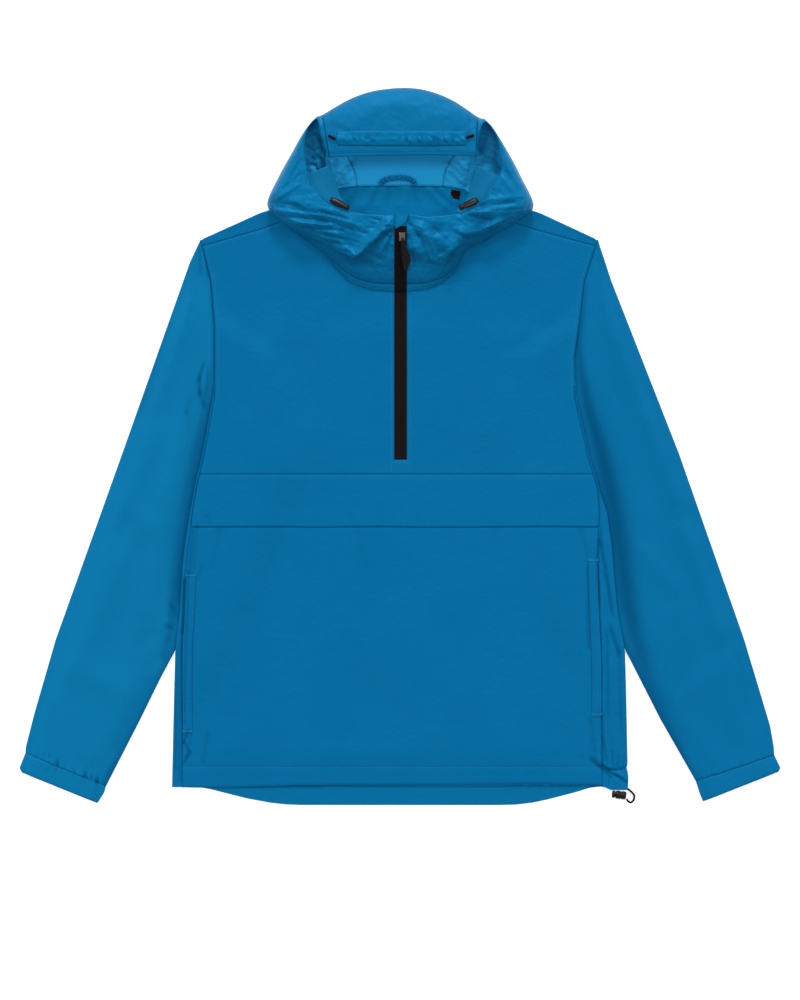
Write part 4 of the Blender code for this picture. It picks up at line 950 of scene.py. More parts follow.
def upper_front():
    """Chest seam to shoulders and neck, with the zip's slot left open above its lower end."""
    rows = rows_between(CHEST_SEAM + SEAM / 2, FAN_BASE, 2.9 * MM, (ZIP_BOTTOM,))
    x, y = fanned(rows, "left_seam", "right_seam", TOP_OF_FRONT, 26, (0.4, 1.0))
    x[:, 0] += SEAM / 2
    x[:, -1] -= SEAM / 2
    side, top, seam = from_sides(x), look_up(TOP_OF_FRONT, "x", "y", x) - y, y - y[:1]
    slot = np.maximum(np.maximum(ZIP_LEFT - x, x - ZIP_RIGHT), ZIP_BOTTOM - y)
    z = (front_surface(x, y) - fading(side, 0.8 * MM) - fading(top, 0.8 * MM)
         - fading(seam, 0.5 * MM) - fading(slot, 0.55 * MM, 0.9))
    # Painted shade: the front's folds, the side seams, the chest seam, the zip slot and the top
    # edge.
    dark = (front_shade(x, y) + fading(side, 0.4) + fading(seam, 0.30, 1.2)
            + fading(slot, 0.25) + fading(top, 0.15))
    kept = np.ones((z.shape[0] - 1, z.shape[1] - 1), bool)
    beside_slot = np.ones(len(z) - 1, bool)
    beside_slot[:len(rows) - 1] = rows[:-1] >= ZIP_BOTTOM - 1e-6
    half = len(HALF_SHARES)
    kept[beside_slot, half - 1:half + len(MIDDLE_SHARES)] = False
    return cloth("upper_front", grid_of(x, y, z), PANEL, body_nylon, dark, kept=kept)


pieces["front_upper"] = upper_front()

# %% [markdown]
# ## The back
# One panel makes the back, the two side folds and the yoke that comes over the shoulders. The
# fold is half a circle in section; beyond it a strip lies on the front as far as the side seam.
# In the neck the panel stays flat and shows its inner face.

# %% Creases of the back
TURN_STEPS = 9
STRIP_SHARES = close_at_ends(20, (0.3,), 14.0)[1:]
FOLD_RADIUS = EDGE_HEIGHT / 2
FOLD_PINCH_Y, FOLD_BULGE_Y = -397.5 * MM, -410 * MM  # where the cord's gathers pull the right edge
DROOP_FROM, DROOP_TO = 252 * MM, 286 * MM
NECK_CREASES = chart(CREASE, [
    (-34, 320, -46, 296, 3.4, 2.4), (-22, 321, -29, 298, 3, 2),
    (-28, 320, -37, 297, 2.4, -0.6, 0.3), (36, 320, 56, 298, 3.6, 2.4),
    (50, 319, 70, 305, 3.4, 2.4), (43, 319, 64, 301, 2.6, -0.6, 0.3), (8, 321, 4, 300, 6, 1.2),
    (-60, 317, -74, 300, 3.4, 2), (-54, 318, -64, 302, 2.4, -0.7, 0.3),
    (-14, 320, -16, 302, 2.4, -0.4, 0.2), (-80, 318, -88, 306, 3, 1.8),
    (18, 320, 22, 300, 3, -0.5, 0.16), (-70, 322, 70, 322, 2.2, 1, 0.22)])


# %% Side folds and shoulders


def fold_columns(side, rows):
    """The fold and the strip beside the back, as a grid of columns from the panel outwards."""
    inward, y = INWARD[side], rows[:, None]
    edge = side_x(side, y)
    if side == "right":
        edge = edge + (fading(y - FOLD_BULGE_Y, 0.7 * MM, 6)
                       - fading(y - FOLD_PINCH_Y, 1.3 * MM, 3))
    seam = side_x(side + "_seam", y) - inward * SEAM / 2
    base = lift(edge, y)
    turn = np.linspace(0, np.pi, TURN_STEPS)[None, :]
    x = edge + inward * FOLD_RADIUS * (1 - np.sin(turn))
    z = base + FOLD_RADIUS * (1 - np.cos(turn))
    start = edge + inward * FOLD_RADIUS
    strip_x = start + (seam - start) * STRIP_SHARES
    crumple = (1.3 * crease_field(strip_x, y, SIDE_CREASES)
               + crease_field(strip_x, y, CORNER_GATHERS))
    crumple = no_deeper(crumple, 1.0 * MM) + slack(strip_x, y, BODY_SEED)
    strip_z = (front_height(seam, y) * STRIP_SHARES + (base + EDGE_HEIGHT) * (1 - STRIP_SHARES)
               + ease((strip_x - start) * inward, 5) * crumple
               - fading((seam - strip_x) * inward, 0.8 * MM))
    strip_z = np.maximum(strip_z, base + LEAST_HEIGHT)
    lies_flat = y >= FIRST_ARMHOLE_Y
    flat_x = edge + inward * np.linspace(2.4, 0.05, TURN_STEPS + len(STRIP_SHARES)) * MM
    x = np.where(lies_flat, flat_x, np.concatenate([x, strip_x], axis=1))
    return grid_of(x, y, np.where(lies_flat, base, np.concatenate([z, strip_z], axis=1)))


def turned_shoulders(grid):
    """Adds the rows that turn over the shoulder fold and run down to the shoulder seam."""
    grid = grid.copy()
    grid[-1, :, 1] -= FOLD_RADIUS
    x, y, z = grid[-1].T
    turn = np.linspace(0, np.pi, TURN_STEPS)[1:, None]
    share = close_at_ends(9, (0.5, 1.2), 20.0)[1:, None]
    seam_y = np.minimum(look_up(TOP_OF_FRONT, "x", "y", x) + SEAM, y - 2 * MM)
    strip_y = y + share * (seam_y - y)
    crumple = slack(x, strip_y, BODY_SEED) * smooth_step(share * 4)
    strip_z = EDGE_HEIGHT + crumple - fading((1 - share) * (y - seam_y), 0.8 * MM)
    folded = [grid_of(x, y + FOLD_RADIUS * np.sin(turn), FOLD_RADIUS * (1 - np.cos(turn))),
              grid_of(x, strip_y, strip_z)]
    flat = [grid_of(x, y + 0.25 * MM * turn, z), grid_of(x, y + (0.8 + 0.4 * share) * MM, z)]
    at_shoulder = (np.abs(x) > NECK_REACH)[:, None]
    added = np.where(at_shoulder, np.concatenate(folded), np.concatenate(flat))
    grid = np.concatenate([grid, added])
    turned_rows = grid[-len(added) - 1:]
    clear = 0.05 * MM
    turned_rows[..., 0] = np.clip(turned_rows[..., 0], side_x("left", turned_rows[..., 1]) + clear,
                                  side_x("right", turned_rows[..., 1]) - clear)
    return grid


# %% Back panel


def back():
    """Hem to shoulder folds, with the side strips; its inner face shows in the neck and tail."""
    beside_lock = np.array([-412, -407, -402, -397, -392, -387, -380]) * MM
    rows = rows_between(FIRST_ROW, FAN_BASE, 7.0 * MM, beside_lock)
    side_y = fanned(rows, "left", "right", TOP_OF_BACK, 30)[1][:, 0]
    x, y = fanned(rows, "left", "right", TOP_OF_BACK, 30, inset=2.5 * MM)
    y = pulled_to_hem(x, y, "back", 60)
    z = lift(x, y) + np.maximum(crease_field(x, y, NECK_CREASES), 0)
    left, right = (fold_columns(side, side_y) for side in INWARD)
    grid = turned_shoulders(np.concatenate([left[:, ::-1], grid_of(x, y, z), right], axis=1))
    x, y, z = np.moveaxis(grid, -1, 0)
    near_cord = ease(x - DROOP_FROM, 10) * ease(DROOP_TO - x, 6)
    y -= CORNER_DROOP * near_cord * (1 - ease(y - y[:1], 26))
    on_top = z > FOLD_RADIUS + lift(x, y)
    seam_line = np.minimum(*(np.abs(x - side_x(side + "_seam", y)) for side in INWARD))
    below_hem = (y < HEM_OF_BACK) & ~on_top
    # Painted shade: the front's folds and side seams on the turned strips and the neck's creases.
    # Below the front's hem the tail gets a painted shadow of the hem's edge and is darker all
    # over.
    dark = (on_top * (front_shade(x, y) + fading(seam_line, 0.25, 1.4))
            + crease_field(x, y, NECK_CREASES, "dark") * ~on_top
            + below_hem * (0.28 + fading(y - HEM_OF_BACK, 0.60, 3.4)))
    return cloth("back_panel", grid, PANEL, body_nylon, dark, towards=-1)


pieces["back"] = back()

# %% [markdown]
# ## Sleeves and cuffs
# Each sleeve is a flattened tube, open at both ends. Its plan is a Coons patch between four
# edges: armhole, cuff seam, outer fold and the inner fold that is tucked under the body. The
# top rises in the middle of the sleeve; its folds follow the arm, and the cloth sinks where it
# runs under the body. A folded edge is half a circle in section, which the height of both
# layers follows from the distance to the edge.

# %% Sleeve tables
SLEEVE_OUTER = pair("x y", [
    (-247.3, 257), (-260.5, 229), (-344, -7), (-427, -239), (-453.4, -330.5), (-464, -372),
    (-464.3, -379.2)], [
    (245.3, 257), (262, 206), (346, -8.3), (427, -239.3), (459, -346), (463.5, -372),
    (464, -381.8)])
SLEEVE_INNER = pair("x y", [
    (-186, 21), (-232, -115), (-278.6, -252), (-297.6, -288), (-322.4, -338.5),
    (-364.5, -420.6)], [
    (174, 21), (226, -115), (279.6, -252.5), (322.4, -336.7), (366.5, -414)])
CUFF_OUTER = pair("x y", [(-464.5, -379.4), (-471.9, -398), (-468.5, -403.5)],
                  [(464.1, -381.9), (471.9, -398), (469, -402.5)])
CUFF_INNER = pair("x y", [(-364.6, -420.8), (-366.5, -428), (-375, -441.4)],
                  [(366.6, -414.1), (372, -431), (375.7, -439.3)])
SLEEVE_RIDGES = pair(CREASE, [
    (-262, 175, -300, 60, 15, 1.4), (-300, 20, -352, -90, 14, 1.2),
    (-330, -110, -395, -260, 13, 1), (-360, -60, -310, -100, 14, 1.1),
    (-420, -270, -345, -300, 14, 0.9), (-275, -150, -300, -250, 12, 1)], [
    (252, 185, 280, 90, 15, 1.3), (300, 60, 340, -60, 14, 1.1), (352, -100, 400, -230, 14, 1.1),
    (300, -130, 338, -170, 14, 1.2), (425, -250, 350, -310, 14, 1),
    (275, -170, 300, -240, 12, 0.9)])
SLEEVE_CREASES = pair(CREASE, [
    (-249, 246, -246, 214, 2.2, -1, 0.45), (-242, 242, -239, 212, 1.6, -0.9, 0.45),
    (-245, 238, -242, 208, 1.6, 0.9), (-252, 214, -256, 170, 7, -0.6, 0.08),
    (-243.5, 101, -248.5, 84, 2.2, -0.8, 0.5), (-248.5, 84, -248, 66, 2.6, -1, 0.6),
    (-248, 66, -243, 50, 2.8, -1, 0.5), (-239, 94, -241.5, 70, 2.8, 1),
    (-260, 56, -264, 42, 3, -0.6, 0.2), (-264, 42, -260, 18, 3, -0.6, 0.2),
    (-291, -217, -275, -222, 2.6, 1), (-288, -224, -277, -227, 2.4, -1, 0.25),
    (-284, -197, -275, -213, 3, -0.9, 0.22), (-287, -240, -277, -237, 2.4, -0.8, 0.2),
    (-322, -244, -312, -232, 10, -0.7, 0.12), (-309, -292, -350, -372, 9, -0.6, 0.16),
    (-352, -130, -398, -290, 20, 1), (-330, 20, -352, -60, 16, 0.8),
    (-300, 90, -318, 40, 12, -0.6, 0.05), (-395, -330, -380, -380, 14, 0.7),
    (-430, -330, -436, -370, 7, -0.6, 0.05), (-352, -392, -362, -410, 4, -0.8, 0.25)], [
    (258, 200, 300, 90, 16, 0.9), (318, 40, 352, -60, 18, 1), (372, -120, 402, -220, 18, 0.9),
    (330, -30, 342, -90, 12, -0.6, 0.05), (346, -200, 372, -300, 20, 0.8),
    (398, -290, 420, -360, 12, 0.7), (330, -320, 352, -368, 9, -0.6, 0.12),
    (250, 232, 246, 190, 3, -0.5, 0.12), (416, -262, 428, -330, 7, -0.5, 0.05)])
BESIDE_BODY = pair(BENT_FOLD, [
    (-236, 96, 4, -0.8, 0.15), (-240, 40, 6, -1.3, 0.36), (-249, 0, 9, -1.5, 0.46),
    (-259, -60, 11, -1.6, 0.48), (-268, -120, 11, -1.6, 0.5), (-277, -180, 9, -1.5, 0.46),
    (-284, -230, 6, -0.9, 0.3), (-292, -262, 5, -0.8, 0.2)], [
    (231, 200, 3, -0.4, 0.2), (226, 165, 4, -0.7, 0.45), (221, 128, 5, -1, 0.6),
    (224, 95, 6, -1.3, 0.7), (233, 46, 9, -1.7, 0.9), (249, -10, 12, -2, 1),
    (261, -66, 14, -2, 1.05), (273, -129, 14, -2, 1), (283, -200, 13, -1.8, 0.9),
    (293, -243, 11, -1.4, 0.7), (308, -290, 9, -1, 0.5), (330, -340, 7, -0.7, 0.34),
    (352, -386, 6, -0.6, 0.24)])
RIDGE_BESIDE = pair(BENT_FOLD, [
    (-258, 90, 9, 0.5), (-272, 10, 13, 1.2), (-290, -70, 15, 1.6), (-304, -140, 15, 1.5),
    (-312, -200, 12, 1)], [
    (240, 100, 9, 0.5), (262, 40, 13, 1.1), (282, -30, 16, 1.4), (298, -100, 17, 1.5),
    (308, -170, 17, 1.4), (320, -240, 15, 1), (336, -292, 12, 0.6)])
print("creases on the sleeves:", [len(table["x0"]) for table in SLEEVE_CREASES.values()])

# %% Flattened tubes
TUBE_WALL = 0.6 * MM
TUCKED_FROM_Y, HIP_Y, SHADOW_TOP_Y = -421 * MM, -235 * MM, 232 * MM
SLEEVE_LENGTH, SLEEVE_WIDTH, CUFF_LENGTH, CUFF_WIDTH = 690.0, 190.0, 21.0, 105.0  # in mm
LEAST_RISE = TUBE_WALL + 0.5 * MM - EDGE_HEIGHT  # a hollow stops short of the under layer
NEAR_FOLD = (0.15, 0.5, 1.0, 1.5)
# What each sleeve shows of an effect: gathers at the cuff, painted shade in the fold beside the
# body and painted shadow of the body on it, and painted shade at the seams above and below the
# gathers.
GATHERED = {"left": 1.25, "right": 0.25}
FOLD_DARK = {"left": 1.7, "right": 1.02}
BODY_DARK = {"left": 0.75, "right": 0.30}
SLEEVE_SEAM_DARK = {"left": 0.06, "right": 0.20}
CUFF_SEAM_DARK = {"left": 0.10, "right": 0.50}


def along(edge, shares):
    """Points at shares of the length of a polyline."""
    xy = np.stack([edge["x"], edge["y"]], axis=-1)
    length = np.concatenate([[0], np.cumsum(np.hypot(*np.diff(xy, axis=0).T))])
    at = np.asarray(shares) * length[-1]
    return np.stack([np.interp(at, length, xy[:, k]) for k in (0, 1)], axis=-1)


def patch(start, end, outer, inner, u, v):
    """A Coons patch: (1-v) start + v end + (1-u) outer + u inner, less the corners' blend."""
    u, v = u[None, :, None], v[:, None, None]
    ruled = (1 - v) * start[None] + v * end[None]
    lofted = (1 - u) * outer[:, None] + u * inner[:, None]
    corners = (1 - v) * ((1 - u) * start[0] + u * start[-1]) + v * (
        (1 - u) * end[0] + u * end[-1])
    return ruled + lofted - corners


def layers(outer, inner, v, shares, seam=None):
    """Plan of a tube's top layer, and of its under layer from the inner fold to the outer one.

    Both ends run straight from fold to fold, unless the first follows a seam.
    """
    plans = []
    for u in shares:
        start, end = (outer[k] + (inner[k] - outer[k]) * u[:, None] for k in (0, -1))
        if seam:
            start = along(seam, u)
        plans.append(patch(start, end, outer, inner, u, v))
    return plans[0], plans[1][:, ::-1]


def armhole(side):
    """The sleeve's edge along the armhole seam, from the shoulder tip to the hidden armpit."""
    y = np.array([257, 240, 222, 205, 180, 152, 132, 111.6, 96, 80.6]) * MM
    x = side_x(side, y) + 2 * SEAM * INWARD[side]
    return {"x": np.append(x, ARMPITS[side][0]), "y": np.append(y, ARMPITS[side][1])}


def round_edge(distance):
    """Rise of half a circle of the fold's radius: r times the root of 1 less (1 - d/r) squared."""
    inward = 1 - np.clip(distance / FOLD_RADIUS, 0, 1)
    return FOLD_RADIUS * np.sqrt(np.maximum(1 - inward**2, 0))


def flattened_tube(name, side, plan, under, rise, shade):
    """A ring of cloth for each row: the top layer across, and the under layer back again.

    plan and under hold the two layers' points in plan. Beside a fold both follow half a circle,
    and rise is the height that the top layer adds to it.
    """
    edge, under_edge = (np.minimum(*edge_distances(layer)) for layer in (plan, under))
    top = np.dstack([plan, FOLD_RADIUS + round_edge(edge) + rise])
    below = np.dstack([under, FOLD_RADIUS - round_edge(under_edge)])[:, 1:-1]
    dark = np.concatenate([shade, np.zeros(below.shape[:2])], axis=1)
    return cloth(name + side, np.concatenate([top, below], axis=1), TUBE_WALL,
                 sleeve_nylon[side], dark, around=True, towards=-INWARD[side])


def edge_distances(plan):
    """Distance of each point to the outer and to the inner fold."""
    return distance(plan, plan[:, :1]), distance(plan, plan[:, -1:])


# %% Sleeves and cuffs


def cuff_gathers(side, across_it, away):
    """Height of the small uneven gathers beside the cuff seam, and the painted shade of their
    hollows.
    """
    wave = (noise(across_it, away, 3.2, 8, 91)
            + 0.7 * noise(across_it, away, 2.2, 4, 92, 20))
    patchy = 0.35 + 0.65 * smooth_step(noise(across_it, 0 * away, 17, 17, 94) + 0.5)
    fade = GATHERED[side] * patchy * np.exp(-away / (6 * MM))
    return 1.2 * MM * fade * wave, 1.4 * fade * smooth_step(-wave - 0.1)


def beside_body(side, x, y):
    """Shadow on the sleeve within a few millimetres of the body's edge, above the hip."""
    away = np.maximum(np.abs(x) - np.abs(side_x(side, y)), 0)
    return ease(y - HIP_Y, 60) * ease(SHADOW_TOP_Y - y, 60) * fading(away, 1.0, 3.4)


def sleeve(side):
    """One sleeve: a flattened tube from the armhole to the cuff seam."""
    v = close_at_ends(150, (0.5, 1.2, 2.4, 4), SLEEVE_LENGTH)
    seam = armhole(side)
    outer, inner = (along(edges[side], v) for edges in (SLEEVE_OUTER, SLEEVE_INNER))
    outer[0], inner[0] = along(seam, [0.0, 1.0])
    shares = (close_at_ends(84, (*NEAR_FOLD, 2.6), SLEEVE_WIDTH),
              close_at_ends(14, NEAR_FOLD, SLEEVE_WIDTH))
    plan, under = layers(outer, inner, v, shares, seam)
    x, y = plan[..., 0], plan[..., 1]
    to_outer, to_inner = edge_distances(plan)
    from_cuff, from_seam = distance(plan, plan[-1:]), distance(plan, plan[:1])
    beyond = np.maximum(np.abs(x) - np.abs(side_x(side, y)) - 3 * MM, 0)
    to_cover = np.where(y > TUCKED_FROM_Y, np.minimum(to_inner, beyond), to_inner)
    swell, free = (ease(to_outer, a) * ease(to_cover, b) for a, b in ((34, 34), (7, 5)))
    gathers, pits = cuff_gathers(side, to_outer, from_cuff)
    rise = (swell * (SLEEVE_LOFT + crease_field(x, y, SLEEVE_RIDGES[side]))
            + free * (crease_field(x, y, SLEEVE_CREASES[side])
                      + path_field(x, y, BESIDE_BODY[side]) + path_field(x, y, RIDGE_BESIDE[side])
                      + slack(x, y, SLEEVE_SEEDS[side]))
            + free * gathers)
    rise = np.maximum(rise, LEAST_RISE * ease(to_outer, 3))
    sewn = ease(to_outer, 2)
    rise = rise - sewn * (fading(from_cuff, 0.5 * MM) + fading(from_seam, 1.0 * MM, 1.4))
    climb = np.maximum(lift(x, y) - 0.8 * MM - PANEL - rise, 0)
    rise = rise + fading(from_seam, ease(y - FIRST_ARMHOLE_Y + 3 * MM, 4) * sewn * climb)
    # Painted shade: creases, the fold beside the body, the body's shadow, the armhole and cuff
    # seams, the tucked inner fold and the gathers' hollows.
    dark = (crease_field(x, y, SLEEVE_CREASES[side], "dark")
            + FOLD_DARK[side] * path_field(x, y, BESIDE_BODY[side], "dark")
            + BODY_DARK[side] * beside_body(side, x, y) + fading(from_seam, 0.75, 1.8)
            + fading(from_cuff, SLEEVE_SEAM_DARK[side], 1.3)
            + fading(to_inner, 0.60, 6) + pits)
    return flattened_tube("sleeve_cloth_", side, plan, under, rise, dark)


def cuff(side):
    """One cuff: a short flattened tube with shallow gathers that die out towards its hem."""
    v = close_at_ends(12, (0.5, 1.2), CUFF_LENGTH)
    outer, inner = (along(edges[side], v) for edges in (CUFF_OUTER, CUFF_INNER))
    shares = (close_at_ends(60, (*NEAR_FOLD, 2.6), CUFF_WIDTH),
              close_at_ends(30, NEAR_FOLD, CUFF_WIDTH))
    plan, under = layers(outer, inner, v, shares)
    to_outer, to_inner = edge_distances(plan)
    from_seam, from_hem = distance(plan, plan[:1]), distance(plan, plan[-1:])
    gathers, pits = cuff_gathers(side, to_outer, from_seam)
    wide = 0.5 * MM * noise(to_outer, from_hem, 16, 30, 93)
    rise = (ease(np.minimum(to_outer, to_inner), 15) * (2.4 * MM + wide + 0.5 * gathers)
            - ease(to_outer, 2) * ease(to_inner, 2)
            * (fading(from_seam, 0.8 * MM) + fading(from_hem, 0.8 * MM)))
    # Painted shade at the seam and the hem, and in the gathers' hollows.
    dark = (fading(from_seam, CUFF_SEAM_DARK[side], 1.2) + fading(from_hem, 0.25)
            + 0.5 * pits)
    return flattened_tube("cuff_cloth_", side, plan, under, rise, dark)


for side in INWARD:
    pieces["sleeve_" + side] = sleeve(side)
    pieces["cuff_" + side] = cuff(side)

# %% [markdown]
# ## The hood
# The hood is worked out section by section round the face opening, from the zip, along the
# collar and up to the crown seam. A section leaves the neck seam along the lower layer, turns
# up at the outer fold and comes back over the top to the rim. The turn is a quadratic Bezier
# curve and the return a cubic one. Sections in between follow Hermite curves through the rows.

# %% Hood tables
HOOD_COLUMNS = "neck_x neck_y neck_z low fold_x fold_y fold_z rim_x rim_y rim_z swell"
# The sections that the sides' seams with the crown share
LEFT_CORNER = (-53.2, 322.9, 1.8, 0, -96, 410.5, 14, -87.5, 357, 33, 2)
RIGHT_CORNER = (53.2, 322.9, 1.8, 0, 96, 408, 14, 94, 357, 33, 2)
HOOD_STATIONS = pair(HOOD_COLUMNS, [
    (-7.4, 193, 5, 5, -7.4, 202, 9, -7.4, 286, 31, 1),
    (-35, 195, 5, 5, -34, 204, 9.5, -30, 286, 31, 1),
    (-61, 203, 5, 5, -60, 212, 10, -52, 288, 32, 1.5),
    (-80, 221, 5, 5, -81, 229, 11, -68, 290.5, 33, 2),
    (-93, 245, 4.6, 4.6, -107, 249, 12, -80, 295, 34, 3),
    (-98, 270, 3.6, 3.6, -135, 268, 13, -92, 302.6, 35, 4),
    (-97, 294, 3.8, 3.8, -155, 285, 14, -103, 313.7, 36, 5),
    (-97, 309, 3.8, 3.6, -164, 302, 14, -112, 327, 36, 5),
    (-80, 319, 1.9, 0, -150, 334, 14, -115.3, 346, 35, 4),
    (-66, 321.7, 1.8, 0, -134, 363, 13, -118.3, 366.5, 33, 2.5),
    (-58, 322.4, 1.8, 0, -119, 389, 13, -114, 390.5, 30, 1.5),
    (-54, 322.9, 1.8, 0, -104, 407, 14, -103, 403.5, 28, 1),
    (-53.6, 322.9, 1.8, 0, -100, 409, 14, -97.5, 383, 31, 1.5),
    LEFT_CORNER], [
    (8.8, 193, 5, 5, 8.8, 202, 9, 8.8, 287, 31, 1),
    (34, 196, 5, 5, 34, 204, 9.5, 32, 283.5, 31, 1),
    (52, 203, 5, 5, 54, 211, 10, 56, 285, 32, 1.5), (69, 217, 5, 5, 70, 224, 11, 75, 288, 33, 2),
    (79, 237, 5, 5, 82, 243, 12, 88.5, 293, 34, 3),
    (86, 262, 4.4, 4.4, 106, 254.5, 13, 100, 300, 35, 4),
    (91, 286, 3.8, 3.8, 143, 277, 14, 110.5, 313, 36, 5),
    (95, 307, 3.8, 3.6, 165, 297, 14, 117.5, 326.5, 36, 5),
    (80, 319, 1.9, 0, 150, 333, 14, 125, 340, 35, 4),
    (66, 321.7, 1.8, 0, 136, 360, 13, 124.5, 358, 33, 2.5),
    (58, 322.4, 1.8, 0, 119.5, 387, 13, 116.5, 388.5, 30, 1.5),
    (54, 322.9, 1.8, 0, 106, 404, 14, 104.5, 400, 28, 1),
    (53.6, 322.9, 1.8, 0, 101, 406, 14, 97.5, 383, 31, 1.5),
    RIGHT_CORNER])
CROWN_STATIONS = chart(HOOD_COLUMNS, [
    LEFT_CORNER,
    (-40, 323.1, 1.8, 0, -63, 429.5, 14, -62, 357.5, 34, 3),
    (-20, 323.4, 1.8, 0, -33, 440, 14, -31, 358, 35, 3.5),
    (0, 323.6, 1.8, 0, 4, 443.9, 14, 3, 358.5, 35, 3.5),
    (20, 323.4, 1.8, 0, 34, 440.5, 14, 35, 359, 35, 3.5),
    (40, 323.1, 1.8, 0, 65, 428.5, 14, 66, 358.5, 34, 3),
    RIGHT_CORNER])
HOOD_RIDGES = chart(CREASE, [
    (-152, 285, -78, 262, 7, 3.5), (-128, 301, -60, 278, 6, 2.5), (-134, 268, -58, 234, 8, 3.5),
    (-58, 231, -14, 274, 7, 5), (-42, 252, -14, 268, 5, 2), (60, 232, 76, 262, 9, 4.5),
    (76, 262, 122, 268, 9, 4), (26, 268, 60, 246, 7, 3), (22, 246, 52, 212, 7, 2.5),
    (88, 288, 150, 292, 8, 2.5), (-40, 205, -30, 226, 5, 1.5), (-72, 232, -40, 218, 9, -3),
    (22, 228, 46, 214, 9, -2), (-140, 296, -90, 276, 5, -1.5), (84, 276, 118, 282, 6, -2)])
print("stations of each side of the hood:", len(HOOD_STATIONS["left"]["low"]))

# %% Steps and creases of the hood
HOOD_STEPS = 18
HOOD_WALL = 0.8 * MM
COLLAR_TOP, NECK_SEAM = 330 * MM, 321 * MM
FLAT_SHARES = np.concatenate([[0, 0.03], np.linspace(0.06, 0.6, 28)])
TURN_SHARES = np.linspace(0, 1, 9)[1:]
RETURN_STEPS = 63
RETURN_SHARES = np.linspace(0, 1, RETURN_STEPS + 1)[1:]
UPPER = len(FLAT_SHARES) + len(TURN_SHARES)
# Values per column of a section: the upper layer, how near the rim it is, and the lower layer.
IS_UPPER = np.arange(UPPER + RETURN_STEPS) >= UPPER
ON_TOP = np.append(np.zeros(UPPER), smooth_step(7 * RETURN_SHARES / 3))
FROM_RIM = np.append(np.ones(UPPER), smooth_step((1 - RETURN_SHARES) / 0.06))
BELOW = np.append(np.sin(np.pi * np.linspace(0, 1, UPPER)) ** 0.5, np.zeros(RETURN_STEPS))
WARP_TURN = {"left": 74, "right": 104, "crown": 82}
HOOD_SEEDS = {"left": 101, "right": 111, "crown": 121}
HOOD_CREASES = chart(CREASE, [
    (-158, 300, -112, 296, 2.6, -1.2, 0.22), (-152, 292, -96, 284, 2.2, 1.4),
    (-148, 284, -92, 277, 2.4, -1.5, 0.3), (-126, 276, -84, 273, 2, 1.6),
    (-120, 270, -70, 266, 2.2, -1.6, 0.32), (-112, 263, -72, 252, 2.2, 1.3),
    (-96, 262, -52, 252, 1.8, -1.1, 0.24), (-100, 290, -64, 280, 1.8, -1, 0.22),
    (-92, 284, -50, 272, 2.4, 1.1), (-76, 272, -40, 262, 1.8, -1, 0.22),
    (-66, 246, -56, 236, 1.8, 1.2), (-88, 248, -66, 240, 1.6, -0.9, 0.25),
    (-40, 283, -11, 276, 1.5, -0.9, 0.3), (-36, 278, -11, 273, 1.5, 0.9),
    (-40, 270, -12, 271, 1.4, -0.9, 0.3), (-33, 262, -12, 269, 1.5, 0.9),
    (-30, 250, -12, 266, 1.7, -1.5, 0.4), (-24, 240, -12, 262, 1.8, 1.4),
    (-18, 232, -11, 258, 1.6, -1.1, 0.34), (-26, 216, -24, 208, 2.2, 1.5),
    (-48, 226, -28, 232, 5, -1.4, 0.22), (-66, 226, -50, 214, 6, -2, 0.34),
    (-38, 206, -16, 200, 4, -0.9, 0.18), (-34, 226, -31, 212, 2.2, -1.1, 0.2),
    (16, 282, 34, 277, 1.5, -0.8, 0.24), (14, 276, 30, 268, 1.7, 0.9),
    (12, 274, 24, 258, 1.6, -1.1, 0.32), (13, 262, 20, 240, 2.2, 1.2),
    (24, 260, 36, 228, 2.2, -1.7, 0.42), (32, 262, 44, 238, 2.4, 1.3),
    (14, 240, 18, 222, 2.4, -1.2, 0.3), (22, 240, 30, 222, 2.2, 0.9),
    (42, 268, 58, 256, 2.4, -1.2, 0.2), (50, 262, 66, 252, 3, 1.2),
    (40, 226, 52, 222, 5, -1.6, 0.3), (16, 212, 40, 214, 5, -1.2, 0.2), (68, 285, 86, 272, 2.2, 1),
    (86, 284, 112, 279, 2.2, -1.5, 0.32), (84, 290, 110, 288, 2.2, 1.3),
    (100, 296, 140, 300, 2.4, -1.3, 0.26), (108, 304, 150, 308, 2.6, 1.1),
    (104, 270, 140, 284, 2.4, 1), (112, 266, 138, 276, 1.8, -0.9, 0.22),
    (120, 290, 156, 294, 2, -0.9, 0.18), (-136, 330, -122, 352, 3, -0.9, 0.18),
    (136, 330, 124, 350, 3, -0.9, 0.18), (-150, 306, -126, 322, 2.6, 1.1),
    (140, 312, 126, 330, 3, 1), (-144, 318, -124, 334, 2.4, -0.9, 0.16),
    (144, 320, 130, 338, 2.4, -0.8, 0.15)])
HOOD_LEDGES = pair(BENT_FOLD, [
    (-132, 267, 7, 0.5, 0.1), (-118, 261, 8, 2, 0.3), (-96, 252, 9, 3.6, 0.5),
    (-79, 242, 9, 4.6, 0.62), (-58, 232.6, 9, 5.4, 0.66), (-55.5, 231.8, 9, 5.4, 0.6),
    (-46, 239, 10, 4.4, 0.5), (-30, 254, 9, 3.4, 0.44), (-13, 274, 7, 1, 0.2)], [
    (12, 199.5, 7, 0.6, 0.2), (33, 203, 8, 2.2, 0.42), (49, 211.5, 9, 3.6, 0.54),
    (56, 224, 9, 4.4, 0.6), (65, 241.5, 9, 4.6, 0.6), (77, 250, 9, 4, 0.54),
    (96.5, 250.5, 8, 3, 0.44), (111, 256, 7, 1.4, 0.24), (126, 265, 6, 0.3, 0.06)])
